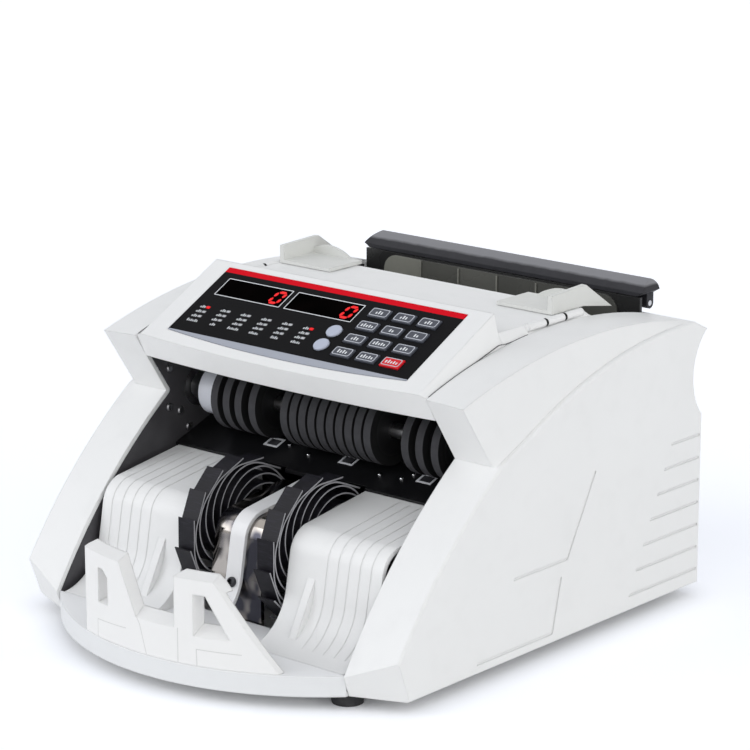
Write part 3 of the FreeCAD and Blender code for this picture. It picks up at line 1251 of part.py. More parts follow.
def support_section():
    """Side outline of the rear support: nose, sloping top, rounded back and the neck to its hinge."""
    front = DEPTH - SUPPORT_FRONT_INSET
    near, heel = HINGE[0] - HINGE_RADIUS, HINGE[0] + HINGE_RADIUS
    nose = (front, SUPPORT_LOW + SUPPORT_NOSE)
    crest = (DEPTH - SUPPORT_CREST_INSET, HINGE[1] + SUPPORT_TOP_RISE)
    shoulder = (heel, crest[1] - SUPPORT_SHOULDER)
    return [(front, SUPPORT_LOW), nose, bulged(nose, crest, SUPPORT_TOP_BULGE),
            bulged(crest, shoulder, SUPPORT_BACK_BULGE), (heel, HINGE[1]), (near, HINGE[1]),
            (near, SUPPORT_LOW)]


def support_ends():
    """Space inside the support's rounded upper corners and undercut ends."""
    low, top = TIP_HEIGHT, HINGE[1] + SUPPORT_TOP_RISE + SUPPORT_NOSE
    waist = SUPPORT_END - SUPPORT_UNDERCUT
    tip = SUPPORT_LOW + SUPPORT_NOSE
    corner = SUPPORT_END - SUPPORT_CORNER
    return front_prism(
        DEPTH - 2 * SUPPORT_FRONT_INSET, DEPTH + SUPPORT_FRONT_INSET, (-waist, low), (-waist, SUPPORT_LOW),
        (-SUPPORT_END, tip), bulged((-SUPPORT_END, tip), (-corner, top), SUPPORT_CORNER_BULGE), (corner, top),
        bulged((corner, top), (SUPPORT_END, tip), SUPPORT_CORNER_BULGE), (waist, SUPPORT_LOW), (waist, low))


def rear_note_support():
    """Sloping flap across the hopper's rear, hinged on the pin below its back edge."""
    bar = joined([side_prism(-SUPPORT_END, SUPPORT_END, *support_section()),
                  rod(-SUPPORT_END, SUPPORT_END, HINGE, HINGE_RADIUS)]).common(support_ends())
    half = LUG_WIDTH / 2 + SEAM
    rooms = both_sides(rod(LUG_X - half, LUG_X + half, HINGE, HINGE_RADIUS + LUG_ROOM).fuse(
        block(LUG_X - half, LUG_X + half, HINGE[0] - HINGE_RADIUS - SEAM, HINGE[0] + 2 * HINGE_RADIUS,
              TIP_HEIGHT, HINGE[1])))
    return bar.cut([*rooms, rod(-HALF, HALF, HINGE, PIN_RADIUS + SHAFT_FIT)])


def support_pin():
    """Steel pin through the lugs and the support."""
    end = SUPPORT_END - SUPPORT_UNDERCUT
    return rod(-end, end, HINGE, PIN_RADIUS)


def rubber_feet():
    """Four tapered feet under the pan."""
    feet = []
    for setback in (FOOT_FRONT_SETBACK, DEPTH - FOOT_REAR_INSET):
        place = spot(FOOT_X, setback, -FOOT_HEIGHT)
        feet += both_sides(Part.makeCone(FOOT_RADIUS - FOOT_TAPER, FOOT_RADIUS, FOOT_HEIGHT, place))
    return Part.makeCompound(feet)


def transformer():
    """Mains transformer: coil between the limbs of a laminated core, on the pan."""
    half = TRANSFORMER_WIDTH / 2
    top = PAN_THICK + TRANSFORMER_TALL
    inset = TRANSFORMER_LENGTH / 4
    back = DEPTH - TRANSFORMER_INSET
    front = back - TRANSFORMER_LENGTH
    core = block(TRANSFORMER_X - half, TRANSFORMER_X + half, front + inset, back - inset, PAN_THICK, top)
    coil = block(TRANSFORMER_X - half / 2, TRANSFORMER_X + half / 2, front, back,
                 PAN_THICK + TRANSFORMER_TALL / 5, top - TRANSFORMER_TALL / 5)
    return joined([core, coil])


def straight_shaft(axle):
    """Shaft through both frame plates, long enough for its pulleys."""
    return rod(-shaft_length(), shaft_length(), axle, SHAFT_RADIUS)


def build():
    """All pieces by name."""
    pressed = SHAFT_RADIUS + PRESS_FIT
    right_cover = right_side_cover()
    right_bed = right_stacker_bed()
    right_guide = right_note_guide()
    pieces = {
        "base_pan": base_pan(),
        "front_apron": front_apron(),
        "left_side_cover": mirrored(right_cover),
        "right_side_cover": right_cover,
        "rear_cover": rear_cover(),
        "head_cover": head_cover(),
        "control_panel": control_panel(),
        "display_windows": display_windows(),
        "mode_lamps": mode_lamps(),
        "circuit_boards": circuit_boards(),
        "left_frame_plate": left_frame_plate(),
        "right_frame_plate": right_frame_plate(),
        "tie_rods": tie_rods(),
        "frame_screws": frame_screws(),
        "left_stacker_bed": mirrored(right_bed),
        "right_stacker_bed": right_bed,
        "centre_guide_strip": centre_guide_strip(),
        "centre_bracket": centre_bracket(),
        "sensor_plate": sensor_plate(),
        "sensor_windows": Part.makeCompound(sensor_blocks(0.0)),
        "front_note_stop": front_note_stop(),
        "hopper_floor": hopper_floor(),
        "hopper_back_plate": hopper_back_plate(),
        "counting_shaft": straight_shaft(COUNTING),
        "counting_discs": counting_discs(),
        "white_roller": white_roller(),
        "counting_pulley": counting_pulley(),
        "feed_shaft": straight_shaft(FEED),
        "feed_rollers": feed_rollers(),
        "feed_pulley": pulley(-RIGHT_PULLEY_X - PULLEY_WIDTH, FEED, FEED_PULLEY_RADIUS, pressed),
        "impeller_shaft": straight_shaft(IMPELLER),
        "left_impeller": impeller(-IMPELLER_X),
        "right_impeller": impeller(IMPELLER_X),
        "impeller_pulley": pulley(SECOND_PULLEY_X, IMPELLER, IMPELLER_PULLEY_RADIUS, pressed),
        "drive_motor": drive_motor(),
        "motor_pulley": motor_pulley(),
        "shaft_bearings": shaft_bearings(),
        "drive_belts": drive_belts(),
        "transformer": transformer(),
        "rubber_feet": rubber_feet(),
        "power_inlet": power_inlet(),
        "power_switch": power_switch(),
        "left_note_guide": mirrored(right_guide),
        "right_note_guide": right_guide,
        "rear_note_support": rear_note_support(),
        "support_pin": support_pin(),
    }
    for row, column, x, rise in key_places():
        pieces[f"key_{row + 1}_{column + 1}"] = rectangular_key(x, rise)
    for name, place in zip(("lower_round_key", "upper_round_key"), round_key_places()):
        pieces[name] = round_key(*place)
    return pieces


def main():
    os.makedirs("parts", exist_ok=True)
    for name, shape in build().items():
        shape.exportStep(f"parts/{name}.step")


main()
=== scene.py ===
import logging
import math
from dataclasses import dataclass
from enum import Enum
from typing import Any, Callable, List, Mapping, Optional, Sequence, Tuple, Union

import bmesh
import bpy
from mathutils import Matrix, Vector
from mathutils.bvhtree import BVHTree


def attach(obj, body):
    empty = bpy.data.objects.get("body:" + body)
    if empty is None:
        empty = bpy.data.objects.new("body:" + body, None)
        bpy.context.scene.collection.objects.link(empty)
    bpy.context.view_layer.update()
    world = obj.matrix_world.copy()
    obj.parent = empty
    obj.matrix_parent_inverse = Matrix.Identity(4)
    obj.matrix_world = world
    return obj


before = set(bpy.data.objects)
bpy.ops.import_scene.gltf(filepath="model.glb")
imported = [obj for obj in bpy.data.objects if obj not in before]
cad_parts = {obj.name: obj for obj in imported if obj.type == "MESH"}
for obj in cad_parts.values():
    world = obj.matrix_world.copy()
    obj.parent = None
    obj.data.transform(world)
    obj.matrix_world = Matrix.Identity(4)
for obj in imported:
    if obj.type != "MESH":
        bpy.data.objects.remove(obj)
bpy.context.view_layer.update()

LOG = logging.getLogger("banknote_counter")
Colour = Tuple[float, float, float]
Flat = Tuple[float, float]
BLACK: Colour = (0.0, 0.0, 0.0)
WHITE: Colour = (1.0, 1.0, 1.0)
ACROSS = Vector((1.0, 0.0, 0.0))
ALONG = Vector((0.0, 1.0, 0.0))
UPWARDS = Vector((0.0, 0.0, 1.0))


class Signal:
    """A node's output that takes part in Python expressions."""

    def __init__(self, graph: "Graph", socket: bpy.types.NodeSocket) -> None:
        """Keep the socket and the graph that it belongs to."""
        self.graph = graph
        self.socket = socket

    def _math(self, operation: str, first: "Number", second: "Number" = 0.0) -> "Signal":
        """Add one Math node for an operation, by Blender's name, on one or two operands."""
        return self.graph.add("ShaderNodeMath", {"operation": operation}, {0: first, 1: second})

    def __add__(self, other: "Number") -> "Signal":
        """Sum."""
        return self._math("ADD", self, other)

    def __radd__(self, other: "Number") -> "Signal":
        """Sum with a number on the left."""
        return self._math("ADD", other, self)

    def __sub__(self, other: "Number") -> "Signal":
        """Difference."""
        return self._math("SUBTRACT", self, other)

    def __rsub__(self, other: "Number") -> "Signal":
        """Difference with a number on the left."""
        return self._math("SUBTRACT", other, self)

    def __mul__(self, other: "Number") -> "Signal":
        """Product."""
        return self._math("MULTIPLY", self, other)

    def __rmul__(self, other: "Number") -> "Signal":
        """Product with a number on the left."""
        return self._math("MULTIPLY", other, self)

    def __abs__(self) -> "Signal":
        """Size without its sign."""
        return self._math("ABSOLUTE", self)

    def __gt__(self, other: "Number") -> "Signal":
        """One where this is more than the other, zero elsewhere."""
        return self._math("GREATER_THAN", self, other)

    def __lt__(self, other: "Number") -> "Signal":
        """One where this is less than the other, zero elsewhere."""
        return self._math("LESS_THAN", self, other)

    def most(self, other: "Number") -> "Signal":
        """The larger of two."""
        return self._math("MAXIMUM", self, other)

    def root(self) -> "Signal":
        """Square root."""
        return self._math("SQRT", self)

    def wave(self) -> "Signal":
        """Sine."""
        return self._math("SINE", self)

    def ramp(self, low: float, high: float) -> "Signal":
        """Zero below low, one above high, straight between them."""
        return self.graph.add("ShaderNodeMapRange", {"clamp": True},
                              {"Value": self, "From Min": low, "From Max": high})


Number = Union[Signal, float, int]
Feed = Union[Signal, float, int, Sequence[float]]


def tinted(colour: Colour, factor: float) -> Colour:
    """A colour made lighter or darker by a factor."""
    return tuple(min(1.0, part * factor) for part in colour)


class Graph:
    """A node tree that is written as expressions."""

    SIDE_FACING: Flat = (0.8, 0.95)
    BEVEL_SAMPLES: int = 4

    def __init__(self, tree: bpy.types.NodeTree) -> None:
        """Wrap the node tree of a material or of the world."""
        self.tree = tree
        self._place: Optional[Signal] = None

    def node(self, kind: str) -> bpy.types.Node:
        """The tree's first node of a type that it was made with."""
        return next(n for n in self.tree.nodes if n.bl_idname == kind)

    def add(self, kind: str, settings: Optional[Mapping[str, Any]] = None,
            inputs: Optional[Mapping[Union[str, int], Feed]] = None, output: Union[int, str] = 0) -> Signal:
        """Add a node.

        Args:
            kind: the node's type.
            settings: its properties, set before its sockets; stops are a colour ramp's.
            inputs: values or links of its sockets, by name or number.
            output: which of its outputs is wanted.

        Returns:
            That output.
        """
        node = self.tree.nodes.new(kind)
        for key, value in (settings or {}).items():
            if key == "stops":
                self._stops(node, value)
            else:
                setattr(node, key, value)
        for key, value in (inputs or {}).items():
            self.feed(node.inputs[key], value)
        return Signal(self, node.outputs[output])

    @staticmethod
    def _stops(node: bpy.types.Node, stops: Sequence[Tuple[float, Colour]]) -> None:
        """Set a colour ramp's stops.

        Args:
            node: the ramp.
            stops: place and colour of each stop.
        """
        elements = node.color_ramp.elements
        while len(elements) < len(stops):
            elements.new(0.5)
        for element, (place, colour) in zip(elements, stops):
            element.position = place
            element.color = (*colour, 1.0)

    def feed(self, socket: bpy.types.NodeSocket, value: Feed) -> None:
        """Set a socket or link it.

        Args:
            socket: where the value goes.
            value: a signal, a number, a vector or a colour.
        """
        if isinstance(value, Signal):
            self.tree.links.new(value.socket, socket)
        elif isinstance(value, (int, float)):
            socket.default_value = value
        else:
            wanted = len(socket.default_value)
            socket.default_value = (*value, 1.0)[:wanted]

    def shade(self, colour: Feed, roughness: Feed, normal: Optional[Signal] = None, specular: float = 0.5,
              metallic: float = 0.0) -> None:
        """Set the material's shader.

        Args:
            colour: its base colour.
            roughness: its roughness.
            normal: its normal, where it isn't the plain one.
            specular: its specular level.
            metallic: one for bare metal.
        """
        shader = self.node("ShaderNodeBsdfPrincipled")
        for socket, value in (("Base Color", colour), ("Roughness", roughness), ("Normal", normal),
                              ("Specular IOR Level", specular), ("Metallic", metallic)):
            if value is not None:
                self.feed(shader.inputs[socket], value)

    def glow(self, colour: Signal, strength: float) -> None:
        """Let the material's shader give off light.

        Args:
            colour: the light's colour.
            strength: its strength.
        """
        shader = self.node("ShaderNodeBsdfPrincipled")
        self.feed(shader.inputs["Emission Color"], colour)
        self.feed(shader.inputs["Emission Strength"], strength)

    def place(self) -> Signal:
        """Where a point of the surface lies on the machine.

        Returns:
            The place in metres.
        """
        if self._place is None:
            self._place = self.add("ShaderNodeTexCoord", output="Object")
        return self._place

    def axes(self) -> Tuple[Signal, Signal, Signal]:
        """The three parts of the place."""
        split = self.add("ShaderNodeSeparateXYZ", inputs={0: self.place()}).socket.node
        return tuple(Signal(self, split.outputs[i]) for i in range(3))

    def reach(self, axle: Flat) -> Signal:
        """Distance from an axle that runs across the machine.

        Args:
            axle: the axle's place along the depth and its height.

        Returns:
            The distance in metres.
        """
        _, y, z = self.axes()
        back, up = y - axle[0], z - axle[1]
        return (back * back + up * up).root()

    def noise(self, size: float, detail: float, stretch: Optional[Sequence[float]] = None) -> Signal:
        """Smooth noise between zero and one.

        Args:
            size: size of its patches in metres.
            detail: how many finer layers it has.
            stretch: factor of each axis of the place that it is read at, where they aren't one.

        Returns:
            The noise.
        """
        where = self.place()
        if stretch is not None:
            where = self.add("ShaderNodeVectorMath", {"operation": "MULTIPLY"}, {0: where, 1: stretch})
        return self.add("ShaderNodeTexNoise", {"noise_dimensions": "3D"},
                        {"Vector": where, "Scale": 1.0 / size, "Detail": detail})

    def mix(self, factor: Number, first: Feed, second: Feed) -> Signal:
        """Colour between two, the first where the factor is zero and the second where it is one."""
        return self.add("ShaderNodeMix", {"data_type": "RGBA"}, {0: factor, 6: first, 7: second}, 2)

    def mottle(self, factor: Signal, colour: Colour, spread: float) -> Signal:
        """A colour that is lighter by a spread where the factor is zero, and darker where it is one."""
        return self.mix(factor, tinted(colour, 1.0 + spread), tinted(colour, 1.0 - spread))

    def looked_at(self) -> Signal:
        """Tell what is seen from what only sends light on.

        Returns:
            One where the camera, a gloss or a clear piece looks, zero for the light that falls on others.
        """
        path = self.add("ShaderNodeLightPath").socket.node
        camera, gloss, clear = (Signal(self, path.outputs[f"Is {kind} Ray"])
                                for kind in ("Camera", "Glossy", "Transmission"))
        return camera.most(gloss).most(clear)

    def sideways(self) -> Signal:
        """One on surfaces that face along the machine's width, zero on the others."""
        facing = self.add("ShaderNodeNewGeometry", output="Normal")
        return abs(self.add("ShaderNodeSeparateXYZ", inputs={0: facing})).ramp(*self.SIDE_FACING)

    def soft_edges(self, radius: float) -> Signal:
        """Surface normal that rounds sharp edges over a radius in metres."""
        return self.add("ShaderNodeBevel", {"samples": self.BEVEL_SAMPLES}, {"Radius": radius})

    def bump(self, height: Signal, depth: float, strength: float, edge: float = 0.0) -> Signal:
        """Normal of a surface with relief.

        Args:
            height: relief between zero and one.
            depth: its full depth in metres.
            strength: how much of it shows.
            edge: radius that sharp edges are rounded over, in metres.

        Returns:
            The new normal.
        """
        inputs = {"Strength": strength, "Distance": depth, "Height": height}
        if edge:
            inputs["Normal"] = self.soft_edges(edge)
        return self.add("ShaderNodeBump", inputs=inputs)


@dataclass(frozen=True)
class Patches:
    """Soft patches: their size and detail, the noise levels they start and end at, and their stretch."""

    size: float
    detail: float
    low: float = 0.0
    high: float = 1.0
    stretch: Optional[Tuple[float, float, float]] = None

    def over(self, graph: Graph) -> Signal:
        """The patches on a graph's surface, from zero to one."""
        return graph.noise(self.size, self.detail, self.stretch).ramp(self.low, self.high)


@dataclass(frozen=True)
class Grain:
    """Fine relief: its size, detail and depth, how much of it shows, and the radius that rounds edges."""

    size: float
    detail: float
    depth: float
    strength: float
    edge: float = 0.0

    def normal(self, graph: Graph) -> Signal:
        """Normal of a graph's surface with this relief."""
        return graph.bump(graph.noise(self.size, self.detail), self.depth, self.strength, self.edge)


@dataclass(frozen=True)
class Finish:
    """A surface finish with its main colour."""

    name: str
    colour: Colour

    def material(self) -> bpy.types.Material:
        """The finish's material, made the first time it is asked for.

        Returns:
            The material.
        """
        title = f"finish_{self.name}"
        found = bpy.data.materials.get(title)
        if found is None:
            found = bpy.data.materials.new(title)
            found.use_nodes = True
            self.paint(Graph(found.node_tree))
        return found

    def paint(self, graph: Graph) -> None:
        """Write the finish into a graph."""
        raise NotImplementedError


@dataclass(frozen=True)
class Moulding(Finish):
    """Injection-moulded plastic with a fine eroded grain, softened edges and faint handling marks."""

    roughness: float = 0.44
    grain: float = 0.0007
    edge: float = 0.0006
    uneven: float = 0.03
    specular: float = 0.5
    depth: float = 0.00006
    relief: float = 0.35
    wear: float = 0.12
    cloud: Patches = Patches(0.06, 3.0)
    marks: Patches = Patches(0.012, 4.0, 0.52, 0.72)
    mark_share: float = 0.25

    def tone(self, graph: Graph, shade: Signal) -> Signal:
        """Colour of a graph's surface, a little clouded by a shade."""
        return graph.mottle(shade, self.colour, self.uneven)

    def paint(self, graph: Graph) -> None:
        """Write the finish into a graph.

        Args:
            graph: the material's nodes.
        """
        marks = self.marks.over(graph)
        shade = self.cloud.over(graph) * (1.0 - self.mark_share) + marks * self.mark_share
        grain = Grain(self.grain, 1.0, self.depth, self.relief, self.edge)
        graph.shade(self.tone(graph, shade), self.roughness + marks * self.wear, grain.normal(graph),
                    self.specular)


@dataclass(frozen=True)
class TrayMoulding(Moulding):
    """Moulding painted paler on its top faces, as light falling from above."""

    # pale is the colour of the painted light on the top faces.
    pale: Colour = (0.95, 0.955, 0.965)
    painted_light_low: float = 0.0172
    painted_light_high: float = 0.0177

    def tone(self, graph: Graph, shade: Signal) -> Signal:
        """Colour of a graph's surface, clouded by a shade and painted paler towards its top as light from
        above.
        """
        _, _, z = graph.axes()
        # The paler top is painted light: upward faces are coloured as if lit more strongly from above.
        return graph.mix(z.ramp(self.painted_light_low, self.painted_light_high), super().tone(graph, shade), self.pale)


@dataclass(frozen=True)
class KeyCap(Moulding):
    """Moulding of the keys, with a finer grain, sharper edges and less shine."""

    roughness: float = 0.39
    grain: float = 0.0004
    edge: float = 0.0003
    uneven: float = 0.06
    specular: float = 0.25


@dataclass(frozen=True)
class SheenBar(Finish):
    """Dark moulded bar, painted pale along its crest: a painted sheen where its top catches the light."""

    sheen_colour: Colour
    sheen_low: float
    sheen_high: float
    ragged: float = 0.001
    uneven: float = 0.3
    roughness: float = 0.45
    wear: float = 0.1
    specular: float = 0.15
    cloud: Patches = Patches(0.008, 4.0)
    grain: Grain = Grain(0.0007, 1.0, 0.00006, 0.35, 0.0008)

    def paint(self, graph: Graph) -> None:
        """Write the finish into a graph.

        Args:
            graph: the material's nodes.
        """
        _, _, z = graph.axes()
        cloud = self.cloud.over(graph)
        # The pale band along the top is a painted sheen, standing for light caught by the bar's crest.
        painted_sheen = (z + cloud * self.ragged).ramp(self.sheen_low, self.sheen_high)
        colour = graph.mix(painted_sheen, graph.mottle(cloud, self.colour, self.uneven), self.sheen_colour)
        graph.shade(colour, self.roughness + painted_sheen * self.wear, self.grain.normal(graph), self.specular)


@dataclass(frozen=True)
class Patched(Finish):
    """A surface with soft patches of a second colour, which are rougher than the rest."""

    second: Colour
    roughness: float
    patches: Patches
    grain: Grain
    amount: float = 1.0
    wear: float = 0.15
    specular: float = 0.5
    metallic: float = 0.0

    def paint(self, graph: Graph) -> None:
        """Write the finish into a graph.

        Args:
            graph: the material's nodes.
        """
        mask = self.patches.over(graph)
        colour = graph.mix(mask * self.amount, self.colour, self.second)
        graph.shade(colour, self.roughness + mask * self.wear, self.grain.normal(graph), self.specular,
                    self.metallic)


@dataclass(frozen=True)
class PowderCoat(Patched):
    """Dark powder coat on sheet steel, with its orange peel and a little dust."""

    roughness: float = 0.45
    patches: Patches = Patches(0.02, 5.0, 0.5, 0.8)
    grain: Grain = Grain(0.0012, 1.0, 0.00008, 0.4, 0.0003)
    amount: float = 0.35
    wear: float = 0.2
    specular: float = 0.3


@dataclass(frozen=True)
class PlainRubber(Patched):
    """Black rubber with dust in its pores."""

    second: Colour = (0.12, 0.12, 0.12)
    roughness: float = 0.75
    patches: Patches = Patches(0.008, 4.0, 0.5, 0.8)
    grain: Grain = Grain(0.0008, 3.0, 0.0001, 0.5)
    amount: float = 0.4


@dataclass(frozen=True)
class GlossSheet(Patched):
    """Polished plastic sheet or lens, clouded a little."""

    roughness: float = 0.15
    patches: Patches = Patches(0.02, 3.0, 0.35, 0.75)
    grain: Grain = Grain(0.015, 1.0, 0.0001, 0.15, 0.0003)
    wear: float = 0.12


@dataclass(frozen=True)
class BrightPlate(Patched):
    """Polished plated sheet, with darker patches painted on as reflections."""

    roughness: float = 0.07
    patches: Patches = Patches(1.0, 1.0, 0.38, 0.58, (95.0, 95.0, 80.0))
    grain: Grain = Grain(0.01, 1.0, 0.00008, 0.3)
    metallic: float = 1.0


@dataclass(frozen=True)
class TurnedSteel(Finish):
    """Bright steel with tool marks across its length."""

    roughness: float = 0.23
    wear: float = 0.14
    pale: float = 1.05
    dull: float = 0.85
    smear: Patches = Patches(0.01, 3.0)
    marks: Patches = Patches(1.0, 2.0, stretch=(3000.0, 150.0, 150.0))
    depth: float = 0.00002
    relief: float = 0.3

    def paint(self, graph: Graph) -> None:
        """Write the finish into a graph.

        Args:
            graph: the material's nodes.
        """
        marks = self.marks.over(graph)
        pale, dull = tinted(self.colour, self.pale), tinted(self.colour, self.dull)
        colour = graph.mix(self.smear.over(graph), pale, dull)
        graph.shade(colour, self.roughness + marks * self.wear, graph.bump(marks, self.depth, self.relief),
                    metallic=1.0)


@dataclass(frozen=True)
class TreadRubber(Finish):
    """Ground rubber tyres with dark flanks and hubs, worn lighter round the rim."""

    hub: Colour
    axle: Flat
    hub_radius: float
    rim_radius: float
    hub_edge: float = 0.0006
    worn_depth: float = 0.0008
    worn: Patches = Patches(0.004, 3.0)
    pale: float = 1.7
    flank: float = 0.6
    roughness: float = 0.55
    wear: float = 0.25
    specular: float = 0.35
    grain: Grain = Grain(0.0005, 2.0, 0.00008, 0.5)

    def paint(self, graph: Graph) -> None:
        """Write the finish into a graph.

        Args:
            graph: the material's nodes.
        """
        reach = graph.reach(self.axle)
        band = reach.ramp(self.hub_radius, self.hub_radius + self.hub_edge)
        worn = reach.ramp(self.rim_radius - self.worn_depth, self.rim_radius) * self.worn.over(graph)
        tread = graph.mix(worn, self.colour, tinted(self.colour, self.pale))
        tyre = graph.mix(graph.sideways(), tread, tinted(self.hub, self.flank))
        graph.shade(graph.mix(band, self.hub, tyre), self.roughness + band * self.wear,
                    self.grain.normal(graph), self.specular)


@dataclass(frozen=True)
class GlossBlade(Finish):
    """Black flexible blades: a dull gloss with fine rub marks, and a painted highlight on their side edges
    on both sides.
    """

    edge_highlight: Colour
    axle: Flat
    hub_radius: float
    rubs: Patches = Patches(1.0, 3.0, 0.5, 0.75, (150.0, 1200.0, 1200.0))
    rub_share: float = 0.5
    pale: float = 4.0
    roughness: float = 0.42
    wear: float = 0.15
    specular: float = 0.2
    grain: Grain = Grain(0.006, 2.0, 0.0001, 0.25, 0.0002)

    def paint(self, graph: Graph) -> None:
        """Write the finish into a graph.

        Args:
            graph: the material's nodes.
        """
        # Blade edges that face across the machine get a painted highlight.
        edge_highlight = graph.sideways() * (graph.reach(self.axle) > self.hub_radius)
        rubs = self.rubs.over(graph)
        face = graph.mix(rubs * self.rub_share, self.colour, tinted(self.colour, self.pale))
        graph.shade(graph.mix(edge_highlight, face, self.edge_highlight), self.roughness + rubs * self.wear,
                    self.grain.normal(graph), self.specular)


@dataclass(frozen=True)
class SmokySheet(Finish):
    """Dark sheet with a raised smoky field, in panes of differing lightness between thin ribs; the panes are
    painted reflections.
    """

    rib: Colour
    reflection_panes: Tuple[Tuple[float, Colour], ...]
    half_width: float
    field_face: float
    rib_face: float
    blend: float = 0.004
    cloud: Patches = Patches(0.02, 3.0)
    cloud_share: float = 0.3
    roughness: float = 0.2
    wear: float = 0.15
    specular: float = 0.3
    grain: Grain = Grain(0.015, 1.0, 0.0001, 0.15, 0.0003)

    def paint(self, graph: Graph) -> None:
        """Write the finish into a graph.

        Args:
            graph: the material's nodes.
        """
        x, y, _ = graph.axes()
        stops: List[Tuple[float, Colour]] = []
        for start, colour in self.reflection_panes:
            place = (start + self.half_width) / (2 * self.half_width)
            if stops:
                stops.append((place - self.blend, stops[-1][1]))
            stops.append((place, colour))
        width = x.ramp(-self.half_width, self.half_width)
        # The panes' differing lightness is a painted reflection across the sheet.
        reflection_pane = graph.add("ShaderNodeValToRGB", {"stops": stops}, {0: width})
        cloud = self.cloud.over(graph)
        reflected = graph.mix(cloud * self.cloud_share, reflection_pane, self.colour)
        field = graph.mix(y < self.field_face, self.colour, reflected)
        graph.shade(graph.mix(y < self.rib_face, field, self.rib), self.roughness + cloud * self.wear,
                    self.grain.normal(graph), self.specular)


@dataclass(frozen=True)
class PrintedInk(Finish):
    """Ink or a printed film, very slightly mottled."""

    glow: float = 0.0
    roughness: float = 0.4
    wear: float = 0.08
    uneven: float = 0.06
    specular: float = 0.2
    mottle: Patches = Patches(0.0008, 2.0)
    depth: float = 0.00002
    relief: float = 0.2

    def paint(self, graph: Graph) -> None:
        """Write the finish into a graph.

        Args:
            graph: the material's nodes.
        """
        mottle = self.mottle.over(graph)
        colour = graph.mottle(mottle, self.colour, self.uneven)
        graph.shade(colour, self.roughness + mottle * self.wear, graph.bump(mottle, self.depth, self.relief),
                    self.specular)
        if self.glow:
            graph.glow(colour, self.glow)


@dataclass(frozen=True)
class Overlay(Finish):
    """The console's printed film: black, with a red stripe above and a blue-grey crescent below."""

    red: Colour
    grey: Colour
    origin: Flat
    slope: float
    stripe_start: float
    chord: float
    mottle: Patches = Patches(0.0006, 2.0)
    uneven: float = 0.2
    roughness: float = 0.5
    wear: float = 0.1
    specular: float = 0.04
    depth: float = 0.00003
    relief: float = 0.35

    def paint(self, graph: Graph) -> None:
        """Write the finish into a graph.

        Args:
            graph: the material's nodes.
        """
        _, y, z = graph.axes()
        angle = math.radians(self.slope)
        rise = (y - self.origin[0]) * math.cos(angle) + (z - self.origin[1]) * math.sin(angle)
        mottle = self.mottle.over(graph)
        ground = graph.mix(rise < self.chord, graph.mottle(mottle, self.colour, self.uneven), self.grey)
        colour = graph.mix(rise > self.stripe_start, ground, self.red)
        graph.shade(colour, self.roughness + mottle * self.wear, graph.bump(mottle, self.depth, self.relief),
                    self.specular)


@dataclass(frozen=True)
class BoardLacquer(Finish):
    """Green lacquered circuit board with faint tracks."""

    track: Colour
    pitch: Flat = (2600.0, 2100.0)
    gaps: Flat = (0.75, 0.8)
    patch: Patches = Patches(0.015, 1.0, 0.48, 0.52)
    roughness: float = 0.35
    wear: float = 0.1
    depth: float = 0.00005
    relief: float = 0.5

    def paint(self, graph: Graph) -> None:
        """Write the finish into a graph.

        Args:
            graph: the material's nodes.
        """
        x, y, _ = graph.axes()
        lengthwise = (x * self.pitch[0]).wave() > self.gaps[0]
        crosswise = (y * self.pitch[1]).wave() > self.gaps[1]
        tracks = lengthwise.most(crosswise) * self.patch.over(graph)
        graph.shade(graph.mix(tracks, self.colour, self.track), self.roughness + tracks * self.wear,
                    graph.bump(tracks, self.depth, self.relief))


@dataclass(frozen=True)
class Laminations(Finish):
    """Varnished core of thin steel sheets."""

    pitch: float = 9000.0
    blend: float = 0.6
    dull: float = 0.6
    pale: float = 1.3
    roughness: float = 0.4
    wear: float = 0.1
    depth: float = 0.0001
    relief: float = 0.5
    metallic: float = 0.6

    def paint(self, graph: Graph) -> None:
        """Write the finish into a graph.

        Args:
            graph: the material's nodes.
        """
        _, y, _ = graph.axes()
        sheets = (y * self.pitch).wave().ramp(-self.blend, self.blend)
        colour = graph.mix(sheets, tinted(self.colour, self.dull), tinted(self.colour, self.pale))
        graph.shade(colour, self.roughness + sheets * self.wear, graph.bump(sheets, self.depth, self.relief),
                    metallic=self.metallic)


@dataclass(frozen=True)
class StudioFloor(Finish):
    """Matt white paper that takes the shadow and shows white where the camera or a gloss looks at it."""

    lift: Colour
    contact_shadow_reach: float = 0.02
    fibre: Patches = Patches(0.003, 3.0)
    fibre_shade: float = 0.99
    roughness: float = 0.95
    specular: float = 0.1

    def paint(self, graph: Graph) -> None:
        """Write the finish into a graph.

        Args:
            graph: the material's nodes.
        """
        colour = graph.mix(self.fibre.over(graph), self.colour, tinted(self.colour, self.fibre_shade))
        graph.shade(colour, self.roughness, specular=self.specular)
        # The glow fades where the floor is occluded near the machine: a painted contact shadow. The lift's
        # blue cast shows in the shadows.
        free = graph.add("ShaderNodeAmbientOcclusion", inputs={"Distance": self.contact_shadow_reach}, output="AO")
        graph.glow(graph.mix(graph.looked_at(), BLACK, graph.mix(free, BLACK, self.lift)), 1.0)


SHELL = Moulding("shell", (0.866, 0.868, 0.866), edge=0.001)
# The apron's paler top is painted light.
APRON = TrayMoulding("apron", (0.81, 0.82, 0.83), edge=0.001)
GUIDE = Moulding("guide", (0.72, 0.725, 0.7))
STOP = Moulding("stop", (0.885, 0.883, 0.878), roughness=0.39, edge=0.0012)
STOP_LINE = Moulding("stop_line", (0.7, 0.7, 0.69), edge=0.0001)
ROLLER = Moulding("white_roller", (0.76, 0.78, 0.85), roughness=0.29)
STRIP = Moulding("guide_strip", (0.86, 0.86, 0.87), roughness=0.29)
